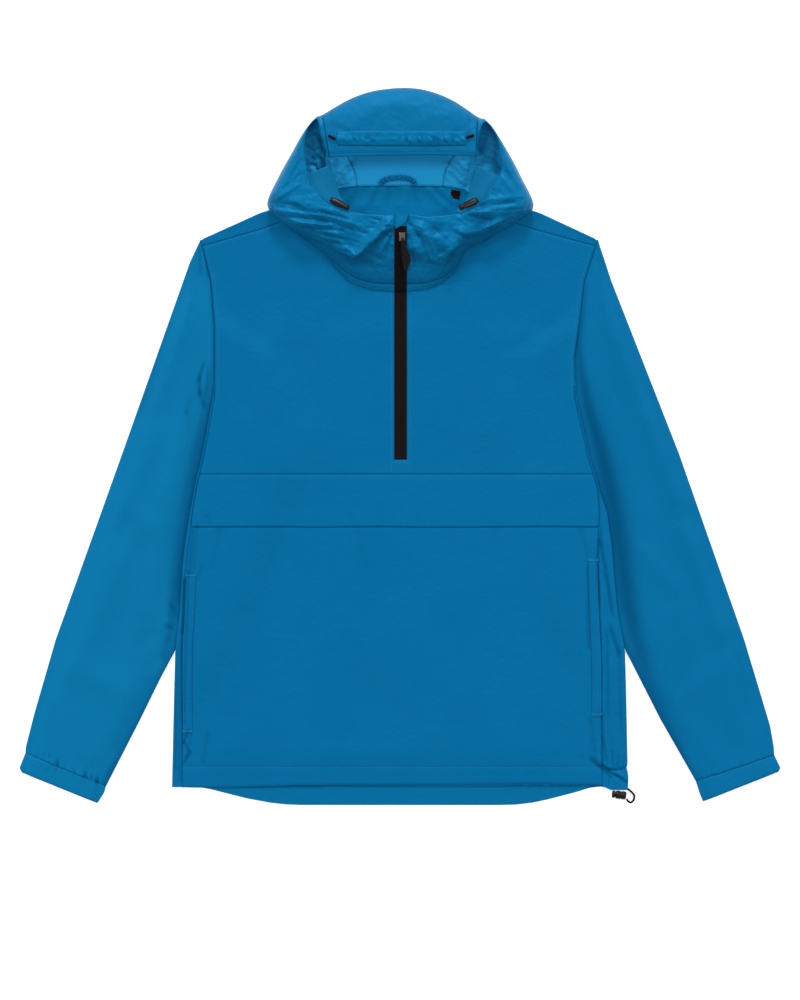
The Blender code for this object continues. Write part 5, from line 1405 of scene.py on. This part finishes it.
CURVED_FOLD = chart(BENT_FOLD, [
    (62, 270, 2.4, -0.8, 0.2), (70, 262, 2.6, -2, 0.44), (79, 258, 2.6, -2.4, 0.52),
    (92, 257, 2.4, -2, 0.46), (103, 260, 2.4, -1, 0.24), (118, 268, 2.2, -0.4, 0.1)])
INNER_CREASES = chart(CREASE, [
    (-106, 390, -101, 346, 2.4, 4.5), (-96, 384, -90, 348, 2.2, 4.5),
    (-100, 388, -96, 342, 1.8, -3, 0.75), (-112, 376, -108, 338, 2, 3.2),
    (-91, 390, -86, 362, 2.4, 3), (-92, 372, -94, 338, 1.6, -2, 0.6),
    (-110, 390, -107, 352, 1.8, -2.6, 0.6), (-60, 356, -74, 342, 2.4, 2.2),
    (-56, 350, -80, 326, 2.2, -1.6, 0.3), (-62, 344, -78, 328, 2.2, 2),
    (-78, 354, -80, 334, 2.2, -1.6, 0.34), (-58, 336, -72, 325, 2, 1.8),
    (-84, 352, -86, 330, 2.2, 2.4), (104, 392, 110, 350, 3.4, 2.8),
    (97, 384, 103, 346, 2.4, -1.6, 0.3), (112, 380, 116, 344, 3, 2.2),
    (92, 376, 97, 352, 2.4, 2.2), (60, 352, 78, 336, 2.2, -1.6, 0.36),
    (58, 346, 80, 326, 2.6, 2.2), (70, 356, 84, 344, 2.2, 2.2),
    (64, 340, 76, 326, 1.8, -1.4, 0.34), (86, 350, 84, 332, 2.4, -1.6, 0.34),
    (56, 336, 66, 325, 2, 1.6)])
CROWN_CREASES = chart(CREASE, [
    (-60, 392, -30, 420, 9, 0.8), (20, 398, 62, 410, 9, 0.7), (-20, 430, 6, 396, 8, -0.6),
    (-84, 396, -60, 386, 4, -0.6, 0.1), (70, 388, 86, 398, 4, -0.6, 0.1)])


# %% Sections of the hood


def hood_grid(stations):
    """Sections of the hood, several from each station to the next."""
    count = len(stations["neck_x"])
    at = np.linspace(0, count - 1, (count - 1) * HOOD_STEPS + 1)
    smooth = {key: through(values, at) for key, values in stations.items()}
    for key in ("neck_x", "neck_y", "neck_z", "low"):
        smooth[key] = np.interp(at, np.arange(count), stations[key])
    neck, fold, rim = (
        np.stack([smooth[f"{place}_{axis}"] for axis in "xyz"], axis=-1)[:, None]
        for place in ("neck", "fold", "rim"))
    low = smooth["low"][:, None]
    run = fold - neck
    flat = neck + FLAT_SHARES[:, None] * run
    centred = ease(np.abs(run[..., 1]) - 60 * MM, 20)
    flat[..., 0] -= centred * (FLAT_SHARES - 1.6 * FLAT_SHARES**2) * run[..., 0]
    flat[..., 2] = low + (neck[..., 2] - low) * (1 - np.minimum(FLAT_SHARES / 0.22, 1))
    overhang = np.linalg.norm(run[..., :2], axis=-1)
    direct = (1 - ease(overhang - 12 * MM, 24)) * (fold[..., 2] - low)
    flat[..., 2] += direct * FLAT_SHARES
    corner = fold.copy()
    corner[..., 2] = low + 0.8 * direct
    t = TURN_SHARES[:, None]
    turn = (1 - t) ** 2 * flat[:, -1:] + 2 * t * (1 - t) * corner + t * t * fold
    crest = rim[..., 2] + smooth["swell"][:, None]
    lean = 0.35 * (1 - ease(overhang - 10 * MM, 30))
    above = fold + lean[..., None] * (rim - fold)
    above[..., 2] = fold[..., 2] + (0.85 - lean) * (crest - fold[..., 2])
    before = rim + 0.45 * (fold - rim)
    before[..., 2] = crest
    t = RETURN_SHARES[:, None]
    back_over = ((1 - t) ** 3 * fold + 3 * t * (1 - t) ** 2 * above
                 + 3 * t * t * (1 - t) * before + t**3 * rim)
    return np.concatenate([flat, turn, back_over], axis=1)


# %% Folds and panels of the hood


def hood_relief(part, stations, creases):
    """The hood's sections with folds, creases and crumples, and the painted shade of their hollows
    and folds.
    """
    grid, seed, turn = hood_grid(stations), HOOD_SEEDS[part], WARP_TURN[part]
    x, y = grid[..., 0], grid[..., 1]
    calm = 0.30 + 0.70 * ease(COLLAR_TOP - y, 30)  # 1 on the collar, where the cloth is bunched
    sharp = (1.9 * MM * crinkle(x, y, 11, 30, seed + 1, turn + 8)
             + 1.1 * MM * crinkle(x, y, 7, 15, seed + 2, turn - 20))
    crumple = (calm * sharp + 0.75 * MM * noise(x, y, 15, 28, seed, turn)
               + 0.20 * MM * noise(x, y, 3.6, 5, seed + 3, 10))
    fine = (1.2 * crease_field(x, y, creases) + 0.9 * crumple) * (0.25 + 0.75 * FROM_RIM)
    # Painted shade on the upper layer: the creases' dark column, and the crumple's hollows on the
    # collar.
    dark = (1.08 * crease_field(x, y, creases, "dark")
            + 0.45 * calm * smooth_step(-crumple / (0.7 * MM)))
    if part in HOOD_LEDGES:
        raised, shadow = ledge(x, y, HOOD_LEDGES[part])
        fine = fine + (raised - 1.2 * MM * shadow) * FROM_RIM
        dark = dark + shadow
    if part == "right":
        fine = fine + path_field(x, y, CURVED_FOLD)
        dark = dark + path_field(x, y, CURVED_FOLD, "dark")
    grid[..., 2] += ON_TOP * (crease_field(x, y, HOOD_RIDGES) + fine)
    crumpled = (1.3 * MM * noise(x, y, 9, 14, seed + 7, 15)
                + 1.8 * MM * crinkle(x, y, 8, 16, seed + 8, 25))
    inner = crease_field(x, y, INNER_CREASES) + crumpled
    fades = ease(y - NECK_SEAM, 6) * (0.12 + 0.88 * ease(np.abs(x) - 50 * MM, 6))
    grid[..., 2] += BELOW * fades * np.maximum(inner + 1.0 * MM, 0)
    # Painted shade inside the hood: in the crumpled hollows of the lower layer, and more on its
    # sides than in the middle.
    pit = 0.30 + 0.6 * smooth_step(-crumpled / (1.0 * MM))
    deep = crease_field(x, y, INNER_CREASES, "dark") + ease(np.abs(x) - 84 * MM, 10) * pit
    # Painted shade along the outer fold, which tones down its lit edge.
    beside_fold = np.arange(grid.shape[1]) > UPPER - 6
    from_fold = distance(grid, grid[:, UPPER:UPPER + 1])
    return grid, (ON_TOP * dark + BELOW * fades * deep
                  + beside_fold * fading(from_fold, 0.5, 7))


def seam_opened(grid, row, amount):
    """The grid with one row of points moved along X, which opens the seam there."""
    grid = grid.copy()
    grid[row, :, 0] += amount
    return grid


def hood_sides_and_crown():
    """Two side panels and the centre panel, whose grid is returned for what is sewn to it."""
    last_rows = {}
    for side, inward in INWARD.items():
        grid, dark = hood_relief(side, HOOD_STATIONS[side], HOOD_CREASES)
        from_seam = distance(grid[..., :2], grid[-1:, :, :2])
        grid[..., 2] -= IS_UPPER * fading(from_seam, 0.9 * MM)
        from_rim = distance(grid, grid[:, -1:])
        # Painted shade along the crown seam and the rim.
        dark = dark + fading(from_seam, 0.55, 1.4) + fading(from_rim, 0.15)
        last_rows[side] = grid[-1]
        pieces["hood_" + side] = cloth(
            "hood_cloth_" + side, seam_opened(grid, -1, -inward * SEAM / 10), HOOD_WALL,
            hood_nylon, dark, towards=inward)
    crown, dark = hood_relief("crown", CROWN_STATIONS, CROWN_CREASES)
    from_seam = np.minimum(*(distance(crown[..., :2], crown[[row], :, :2]) for row in (0, -1)))
    crown[..., 2] -= IS_UPPER * fading(from_seam, 0.9 * MM)
    for row, side in ((0, "left"), (-1, "right")):
        crown[row] = last_rows[side]
        crown = seam_opened(crown, row, INWARD[side] * SEAM / 10)
    hem_line = fading(distance(crown, crown[:, -1:]) - 4.6 * MM, 1.0, 0.9) * IS_UPPER
    crown[..., 2] -= 0.35 * MM * hem_line
    # Painted shade along the seams and in the brim's stitched hem line.
    dark = dark + fading(from_seam, 0.4, 1.4) + 0.40 * hem_line
    pieces["hood_crown"] = cloth("hood_cloth_crown", crown, HOOD_WALL, crown_nylon, dark)
    return crown


crown_grid = hood_sides_and_crown()

# %% [markdown]
# ## What is sewn to the hood
# The drawcord tunnel is a strip of the crown's own points, moved out by its thickness and
# swollen by the cord inside. The facings drop from the rim and run inwards. The zip garage, the
# hanger loop and the bare label are small flat pieces on the seams they belong to.

# %% Sizes of what is sewn on
FACING_STATIONS = np.array([3, 4, 5, 6, 7, 7.5])
FACINGS = pair("x y z", [
    (-62, 294.5, 22), (-69.5, 303, 20), (-74.5, 311, 19), (-77, 321, 20), (-81, 335, 22),
    (-86.5, 348, 24)], [
    (69, 291.5, 22), (78, 300, 20), (83.5, 309, 19), (86, 321, 20), (91, 335, 22),
    (95.5, 347, 24)])
FACING_CLEARANCE, FACING_DEPTH = 1.5 * MM, 30 * MM
GARAGE_CORNERS = chart("x y", [(-6, 286.4), (12.4, 286.4), (-6, 268), (6.6, 274.5)])
LOOP_SPINE = np.array([
    (-25, 325), (-20.5, 329.6), (-14, 332.4), (-5, 333.6), (4, 333.6), (11, 332.2), (16, 329.2),
    (19, 325)]) * MM
LOOP_GATHERS = 9
LABEL_CENTRE, LABEL_SIZE, LABEL_TURN = (68.5 * MM, 313 * MM), (11.5 * MM, 10.5 * MM), -12
TUNNEL_LEFT, TUNNEL_RIGHT = -78.0 * MM, 82.5 * MM
TUNNEL_LOW, TUNNEL_HIGH = 370.4 * MM, 388.6 * MM
TUNNEL_CORD_Y, TUNNEL_DEPTH = 378 * MM, 18 * MM


# %% Tunnel and facings


def crown_height(x, y):
    """Height of the crown's upper layer on a grid of rows that share one y."""
    upper = crown_grid[:, UPPER:]
    heights = []
    for row_x, row_y in zip(x, y[:, 0]):
        at = [np.interp(row_y, section[::-1, 1], np.arange(len(section))[::-1])
              for section in upper]
        low = np.floor(at).astype(int).clip(0, upper.shape[1] - 2)
        part = (at - low)[:, None]
        line = upper[np.arange(len(upper)), low] * (1 - part)
        line = line + upper[np.arange(len(upper)), low + 1] * part
        order = np.argsort(line[:, 0])
        heights.append(np.interp(row_x, line[order, 0], line[order, 2]))
    return np.array(heights)


def brim_tunnel():
    """The drawcord tunnel: a straight strip on the crown, swollen by the cord and gathered."""
    u = close_at_ends(170, (0.4, 0.9), 160.0)[None, :]
    v = close_at_ends(21, (0.3, 0.8), 18.0)[:, None]
    x = TUNNEL_LEFT + (TUNNEL_RIGHT - TUNNEL_LEFT) * u + 0 * v
    y = TUNNEL_LOW + (TUNNEL_HIGH - TUNNEL_LOW) * v + 0 * u
    middle = (y - TUNNEL_CORD_Y) / (4.2 * MM)
    patchy = 0.4 + 0.6 * smooth_step(noise(x, 0 * x, 19, 19, 132) + 0.6)
    quiet = 1 - 0.85 * np.exp(-((u - 0.40) / 0.09) ** 2)
    gathers = 1.5 * MM * noise(x, y, 2.6, 7, 131, 12) * patchy * quiet
    cord = np.exp(-(middle**2))
    ends, low, high = from_sides(x), v * TUNNEL_DEPTH, (1 - v) * TUNNEL_DEPTH
    z = (crown_height(x, y) + 1.5 * MM + cord * (0.9 * MM + gathers)
         - 0.5 * MM * np.exp(-((middle + 1.9) ** 2)) - fading(ends, 0.8 * MM)
         - fading(low, 0.8 * MM) - fading(high, 1.2 * MM, 1.2))
    # Painted shade along the tunnel's edges and ends, and in the hollows of its gathers.
    dark = (fading(low, 0.55, 1.0) + fading(high, 0.5)
            + 0.75 * cord * np.clip(-gathers / (0.6 * MM), 0, 1) + fading(ends, 0.3))
    droop = 1.2 * MM * (2 * u - 1) ** 2 - 0.6 * MM
    return cloth("brim_tunnel", grid_of(x, y + droop * (1 - v), z), 1.0 * MM, hood_nylon, dark)


def facing(side):
    """A smooth band: it drops steeply from the rim, then runs in level to its own edge."""
    first, last = FACING_STATIONS[[0, -1]]
    at = np.linspace(first, last, int((last - first) * HOOD_STEPS) + 1)
    edge = np.stack([np.interp(at, FACING_STATIONS, FACINGS[side][axis]) for axis in "xyz"], -1)
    rim = hood_grid(HOOD_STATIONS[side])[np.round(at * HOOD_STEPS).astype(int), -1]
    away = edge - rim
    start = rim + away * (FACING_CLEARANCE / np.linalg.norm(away[:, :2], axis=-1))[:, None]
    start[:, 2] = rim[:, 2] - 1 * MM
    share = close_at_ends(22, (0.4, 1.0), 35.0)
    outer = start[:, None] + share[:, None] * (edge - start)[:, None]
    outer[..., 2] = start[:, 2:] + np.sin(np.pi / 2 * share) ** 0.5 * (edge[:, 2:] - start[:, 2:])
    x, y = outer[..., 0], outer[..., 1]
    from_edge = (1 - share) * FACING_DEPTH
    outer[..., 2] += 0.25 * MM * noise(x, y, 14, 30, 141)
    outer[..., 2] -= fading(from_edge, 0.6 * MM)
    # Painted shade along the facing's inner edge and next to the rim.
    dark = fading(from_edge, 0.3) + 0.20 * np.exp(-share / 0.10) + 0 * x
    return cloth("facing_" + side, outer, 0.9 * MM, lining_nylon, dark, towards=INWARD[side])


# %% Garage, loop and label


def collar_height(y):
    """Height of the cloth's outer face beside the zip, from the chest up the collar."""
    line = hood_grid(HOOD_STATIONS["left"])[0]
    line = line[np.argsort(line[:, 1], kind="stable")]
    chest = front_height(np.full(np.shape(y), ZIP_LEFT), y)
    return np.where(y < line[0, 1], chest, np.interp(y, line[:, 1], line[:, 2]))


def garage():
    """The small flap of cloth over the top of the zip, its lower edge cut on a slant."""
    u, v = np.linspace(0, 1, 15)[None, :], close_at_ends(14, (0.3, 0.8), 18.0)[:, None]
    x, y = ((1 - v) * ((1 - u) * a + u * b) + v * ((1 - u) * c + u * d)
            for a, b, c, d in (GARAGE_CORNERS["x"], GARAGE_CORNERS["y"]))
    edge = np.minimum(np.minimum(u, 1 - u), 1 - v) * 14 * MM
    z = (collar_height(y) + 2.0 * MM + 0.5 * MM * np.sin(np.pi * u) * (0.4 + v)
         - fading(edge, 0.6 * MM))
    # Painted shade along the garage's edges.
    return cloth("garage_cloth", grid_of(x, y, z), 0.8 * MM, hood_nylon, fading(edge, 0.35),
                 towards=-1)


def hanger_loop():
    """A gathered loop of narrow tape on the back neck seam: a ruffle along a bent spine."""
    spine = through(LOOP_SPINE, np.linspace(0, len(LOOP_SPINE) - 1, 141))
    direction = np.gradient(spine, axis=0)
    across_it = np.stack([-direction[:, 1], direction[:, 0]], axis=-1)
    across_it /= np.linalg.norm(across_it, axis=-1, keepdims=True)
    side = np.linspace(-0.5, 0.5, 13)
    share = np.linspace(0, 1, len(spine))[:, None]
    ruffle = np.sin(2 * np.pi * share * LOOP_GATHERS + 1.8 * np.sin(9 * share))
    wide = (6.4 + 0.9 * ruffle) * MM * side
    plan = spine[:, None] + across_it[:, None] * wide[..., None]
    z = (4.4 * MM + 2.5 * MM * np.sin(np.pi * share) + 0.9 * MM * ruffle * np.cos(np.pi * side)
         - fading((0.5 - np.abs(side)) * 6 * MM, 0.5 * MM))
    # Painted shade in the ruffle's hollows and along one edge of the tape.
    dark = 0.55 * np.clip(-ruffle, 0, 1) ** 2 + 0.5 * smooth_step((-0.36 - side) / 0.1)
    return cloth("loop_tape", np.dstack([plan, z]), 0.8 * MM, lining_nylon, dark, towards=-1)


def label():
    """The bare label: a folded scrap of tape whose free end curls up a little."""
    u, v = np.linspace(-0.5, 0.5, 15)[None, :], np.linspace(-0.5, 0.5, 13)[:, None]
    x, y = u * LABEL_SIZE[0], v * LABEL_SIZE[1]
    c, s = np.cos(np.radians(LABEL_TURN)), np.sin(np.radians(LABEL_TURN))
    z = 2.3 * MM + 0.8 * MM * (0.5 - v) ** 2 + 0.25 * MM * np.sin(5 * u)
    grid = grid_of(LABEL_CENTRE[0] + x * c - y * s, LABEL_CENTRE[1] + x * s + y * c, z)
    return cloth("bare_label", grid, 0.5 * MM, label_black)


pieces["brim_channel"] = brim_tunnel()
for side in INWARD:
    pieces["hood_facing_" + side] = facing(side)
pieces["zip_garage"] = garage()
pieces["hanger_loop"] = hanger_loop()
pieces["size_label"] = label()

# %% [markdown]
# ## Zip, toggles and cords
# The tape is a reverse coil zip: a plain woven face with a groove down the middle where the
# halves meet. The toggles and the lock are bodies of revolution, a profile turned round X, with
# a value per point that marks a painted highlight, a brownish strip along the toggles' upper
# side between black ends. The elastic cord at the hem is a curve with the real length of its loop.

# %% Sizes of the trims
TOGGLE_PLACES = {"left": (-74.2, 299.1, 34.1, -27), "right": (84.5, 298.8, 34.8, 205)}
TOGGLE_PROFILE = np.array([
    (-13, 0.1), (-13, 2), (-12.6, 2.7), (-11.8, 3.1), (-10, 3.3), (-9.4, 4), (-8, 4.2), (-2, 4.25),
    (4, 4.2), (5, 3.9), (5.3, 3), (6.2, 2.9), (6.6, 3.4), (8, 3.6), (10.6, 3.6), (12.2, 3.2),
    (12.9, 2.2), (13, 0.1)]) * MM
CORD_END_PROFILE = np.array([
    (-5, 0.1), (-5, 1.1), (-4.6, 1.6), (-3.8, 1.75), (3.8, 1.75), (4.6, 1.6), (5, 1.1),
    (5, 0.1)]) * MM
LOCK_PROFILE = np.array([
    (-9, 0.1), (-9, 3), (-8.6, 4.1), (-7.6, 4.6), (-5.6, 4.6), (-5.2, 3.4), (-4.4, 3.4), (-4, 4.7),
    (-2.5, 5), (1, 5), (1.5, 4.4), (2.5, 4.4), (3, 5), (6.5, 5), (8, 4.6), (8.8, 3.4),
    (9, 0.1)]) * MM
HOOD_CORDS = {"left": ((-88.5, 383, 36.0), (-79.5, 378.5, 36.0)),
              "right": ((90.5, 383.5, 36.0), (82.5, 380.5, 36.0))}
HEM_CORD_ROUTE = np.array([
    (281.3, -423.2, 1.6), (286.4, -427, 1.6), (290.4, -432, 1.7), (289.4, -437.6, 2),
    (285.8, -440.6, 2.4), (282.6, -438.8, 2.8), (281, -436.2, 3)]) * MM
HEM_CORD_DIAMETER = 2.6 * MM
LOCK_PLACE, LOCK_HEADING = (271.5 * MM, -431.0 * MM, 4.0 * MM), (0.9925, -0.1219, 0)
TURNED_SIDES = 28


# %% Zip tape, turned trims and cord


def zip_face():
    """The zip's woven face, with a groove where its halves meet and its edges tucked in."""
    y = rows_between(-15.6 * MM, ZIP_TOP, 2.0 * MM)[:, None]
    x = np.concatenate([np.linspace(ZIP_LEFT + 0.3 * MM, -0.6 * MM, 9), [0.1 * MM, 0.7 * MM,
                        1.3 * MM, 2.0 * MM], np.linspace(2.6 * MM, ZIP_RIGHT - 0.3 * MM, 9)])
    from_middle = x - 0.5 * (ZIP_LEFT + ZIP_RIGHT)
    z = (collar_height(y) - 0.35 * MM - fading(from_middle, 0.45 * MM, 0.55)
         + fading(np.abs(from_middle) - 2.6 * MM, 0.22 * MM, 1.2)
         + 0.12 * MM * noise(x, y, 9, 24, 161))
    return cloth("zip_face", grid_of(x, y, z), 0.8 * MM, tape_black)


def turned(name, profile, centre, direction, material, height=1.0):
    """A body of revolution: the profile's rows of (along, radius) turned round a direction.

    height is the share of the radius that it keeps upright, less than 1 for an oval section.
    """
    direction = np.array(direction, float)
    direction /= np.linalg.norm(direction)
    level = np.cross([0, 0, 1], direction)
    level /= np.linalg.norm(level)
    upright = np.cross(direction, level)
    angle = np.linspace(0, 2 * np.pi, TURNED_SIDES, endpoint=False)
    ring = np.cos(angle)[:, None] * level + height * np.sin(angle)[:, None] * upright
    points = (np.array(centre) + profile[:, None, :1] * direction
              + profile[:, None, 1:] * ring[None])
    rows = len(profile)
    index = np.arange(rows * TURNED_SIDES).reshape(rows, TURNED_SIDES)
    index = np.concatenate([index, index[:, :1]], axis=1)
    quads = np.stack([index[:-1, :-1], index[:-1, 1:], index[1:, 1:], index[1:, :-1]], -1)
    along_it = np.repeat(profile[:, :1], TURNED_SIDES, axis=1)
    # band marks a painted highlight: the side facing up, along the middle of the length; only the
    # toggles' material reads it.
    facing_up = np.clip(np.sin(angle + 0.35), 0, 1)[None, :] ** 6
    band = facing_up * (np.abs(along_it + 1.0 * MM) < 8.5 * MM)
    mesh = mesh_from(name, points.reshape(-1, 3), quads.reshape(-1, 4), None, band=band.ravel())
    turn_outwards(mesh, fill=TURNED_SIDES)
    mesh.set_sharp_from_angle(angle=np.radians(50))
    return new_object(name, mesh, material)


def hem_cord():
    """The loop of elastic cord at the hem, and its measured length."""
    stations = np.linspace(0, len(HEM_CORD_ROUTE) - 1, 25)
    route = through(HEM_CORD_ROUTE, stations)
    curve = bpy.data.curves.new("hem_cord", "CURVE")
    curve.dimensions = "3D"
    curve.bevel_depth = HEM_CORD_DIAMETER / 2
    curve.bevel_resolution = 5
    curve.use_fill_caps = True
    spline = curve.splines.new("POLY")
    spline.points.add(len(route) - 1)
    spline.points.foreach_set("co", np.concatenate([route, np.ones((len(route), 1))], 1).ravel())
    curve.materials.append(cord_black)
    length = distance(route[1:], route[:-1]).sum()
    print("hem cord length in mm:", round(length / MM, 2))
    return add_object("hem_cord", curve), length, route[0]


pieces["zip_tape"] = zip_face()
for side, (x, y, z, turn) in TOGGLE_PLACES.items():
    heading = (np.cos(np.radians(turn)), np.sin(np.radians(turn)), 0)
    pieces["hood_toggle_" + side] = turned(
        "toggle_" + side, TOGGLE_PROFILE, (x * MM, y * MM, z * MM), heading, highlit_toggle_black)
    start, end = np.array(HOOD_CORDS[side]) * MM
    pieces["hood_cord_" + side] = turned(
        "cord_end_" + side, CORD_END_PROFILE, (start + end) / 2, end - start, cord_black)
pieces["hem_cord_lock"] = turned(
    "hem_lock", LOCK_PROFILE, LOCK_PLACE, LOCK_HEADING, plastic_black, height=0.78)
hem_cord_piece, hem_cord_length, hem_cord_exit = hem_cord()
pieces["hem_cord_loop"] = hem_cord_piece
for node, material in (("zip_slider", plated), ("zip_pull", plastic_black)):
    for material_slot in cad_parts[node].material_slots:
        material_slot.material = material

# %% [markdown]
# ## Stitching
# Topstitching is what tells a sewn garment from a moulded one. Each line is walked at the
# stitch pitch, and every stitch is a small stretched octahedron lying on the cloth, all lines of
# one colour in one mesh.

# %% Stitches
STITCH_PITCH = 3.4 * MM
STITCH_LENGTH = 2.2 * MM
STITCH_WIDTH = 0.80 * MM
# Where stitched lines start and end: along X, and the armhole's along Y.
CHEST_LINE, HEM_LINE = (-247 * MM, 238 * MM), (-268 * MM, 249 * MM)
TAIL_LINE, ARMHOLE_LINE = (-93 * MM, 160 * MM), (58 * MM, 246 * MM)
TAIL_STITCH = -424.4 * MM


def walked(line, pitch):
    """Points every pitch along a polyline in space, and the unit direction at each."""
    length = np.concatenate([[0], distance(line[1:], line[:-1]).cumsum()])
    at = np.arange(pitch / 2, length[-1], pitch)
    points, ahead, behind = (
        np.stack([np.interp(at + step * pitch, length, line[:, k]) for k in range(3)], -1)
        for step in (0, 0.4, -0.4))
    direction = ahead - behind
    return points, direction / np.linalg.norm(direction, axis=1, keepdims=True)


def sewn(name, lines, material, pitch=STITCH_PITCH, length=STITCH_LENGTH, width=STITCH_WIDTH):
    """One mesh with a stretched octahedron for each stitch of all the lines."""
    points, along_it = (np.concatenate(parts) for parts in zip(
        *(walked(line, pitch) for line in lines)))
    level = np.cross([0, 0, 1], along_it)
    level /= np.maximum(np.linalg.norm(level, axis=1, keepdims=True), 1e-9)
    upright = np.cross(along_it, level)
    corners = np.stack([
        points - 0.5 * length * along_it - 0.1 * MM * upright,
        points + 0.5 * length * along_it - 0.1 * MM * upright,
        points - 0.5 * width * level, points + 0.5 * width * level,
        points + 0.6 * width * upright, points - 0.5 * width * upright], axis=1)
    sides = np.array([
        (0, 2, 4), (2, 1, 4), (1, 3, 4), (3, 0, 4), (2, 0, 5), (1, 2, 5), (3, 1, 5), (0, 3, 5)])
    faces = (np.arange(len(points)) * 6)[:, None, None] + sides[None]
    mesh = mesh_from(name, corners.reshape(-1, 3), faces.reshape(-1, 3))
    print(f"{name}: {len(points)} stitches")
    return new_object(name, mesh, material)


def on_front(x, y, above=0.1 * MM):
    """A line on the front's outer face, from arrays of x and y in metres."""
    return grid_of(x, y, front_surface(x, y) + above)


# %% Lines of topstitching


def front_lines():
    """Topstitching of chest, flap, zip, hem, armholes, shoulders and the back's tail."""
    lines = [on_front(np.linspace(*CHEST_LINE, 400), CHEST_STITCH, 1.5 * MM),
             on_front(np.linspace(*HEM_LINE, 400), HEM_STITCH)]
    zip_y = np.linspace(CHEST_SEAM + 2 * MM, 192 * MM, 200)
    lines += [on_front(edge, zip_y) for edge in ZIP_STITCHES]
    lines.append(on_front(np.linspace(*ZIP_STITCHES, 20), ZIP_BOTTOM - 3.4 * MM))
    arm_y = np.linspace(*ARMHOLE_LINE, 120)
    for side, inward in INWARD.items():
        lines.append(on_front(side_x(side + "_seam", arm_y) + inward * 4.4 * MM, arm_y))
        x = -inward * np.linspace(112, 238, 80) * MM
        y = look_up(TOP_OF_FRONT, "x", "y", x) + 2.6 * MM
        lines.append(grid_of(x, y, EDGE_HEIGHT + 0.25 * MM + slack(x, y, BODY_SEED)))
    x = np.linspace(*TAIL_LINE, 160)
    y = TAIL_STITCH + 2.6 * MM * (np.abs(x - 40 * MM) / (133 * MM)) ** 2
    return lines + [grid_of(x, y, PANEL + 0.1 * MM)]


def pocket_lines():
    """The welts' stitched lines and the close bars of thread at their ends."""
    lines, bars = [], []
    for side, inward in INWARD.items():
        low, high = WELT_ENDS[side]
        y = np.linspace(low * MM, high * MM, 90)
        for inset in (11.4, 1.8):
            lines.append(on_front(side_x(side + "_seam", y) + inward * inset * MM, y, 1.5 * MM))
        for end in (low, high):
            bar_x = side_x(side + "_seam", end * MM) + inward * np.linspace(-0.5, 12.5, 14) * MM
            for row in (-0.9, -0.3, 0.3, 0.9):
                bars.append(on_front(bar_x, (end + row) * MM, 2.3 * MM))
    return lines, bars


def hood_lines():
    """Topstitching of the hood: crown seams, brim and tunnel."""
    upper = crown_grid[:, UPPER:] + np.array([0, 0, 0.15 * MM])
    lines = [upper[row, 6:-3] for row in (HOOD_STEPS // 3, -1 - HOOD_STEPS // 3)]
    lines.append(upper[3:-3, -4])
    x = np.linspace(TUNNEL_LEFT, TUNNEL_RIGHT, 120)
    for y in (TUNNEL_HIGH - 1.5 * MM, TUNNEL_LOW + 1.2 * MM):
        lines.append(grid_of(x, y, crown_height(x[None], np.array([[y]]))[0] + 1.3 * MM))
    return lines


pocket_seams, bar_tacks = pocket_lines()
stitching = [sewn("stitches_body", front_lines() + pocket_seams, blue_thread),
             sewn("stitches_hood", hood_lines(), dark_thread, pitch=2.7 * MM),
             sewn("bar_tacks", bar_tacks, blue_thread, pitch=1.0 * MM, length=1.1 * MM)]

# %% [markdown]
# ## Floor and bodies
# Every piece rides with the garment and takes the place of its plain node.

# %% Floor
floor_mesh = bpy.data.meshes.new("floor")
FLOOR_REACH, FLOOR_DROP = 30.0, 0.5 * MM
floor_corners = [(-1, -1, 0), (1, -1, 0), (1, 1, 0), (-1, 1, 0)]
floor_mesh.from_pydata([(x * FLOOR_REACH, y * FLOOR_REACH, z) for x, y, z in floor_corners], [],
                       [(0, 1, 2, 3)])
paper = Paint("white_floor")
paper.finish((0.95, 0.95, 0.95, 1), 0.9, Emission_Color=(1, 1, 1, 1), Emission_Strength=0.35)
floor = new_object("floor", floor_mesh, paper.material)
floor.location.z = -FLOOR_DROP

# %% Joining to the frame
for piece in stitching:
    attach(piece, "anorak")
for node, piece in pieces.items():
    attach(piece, "anorak")
    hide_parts(node)
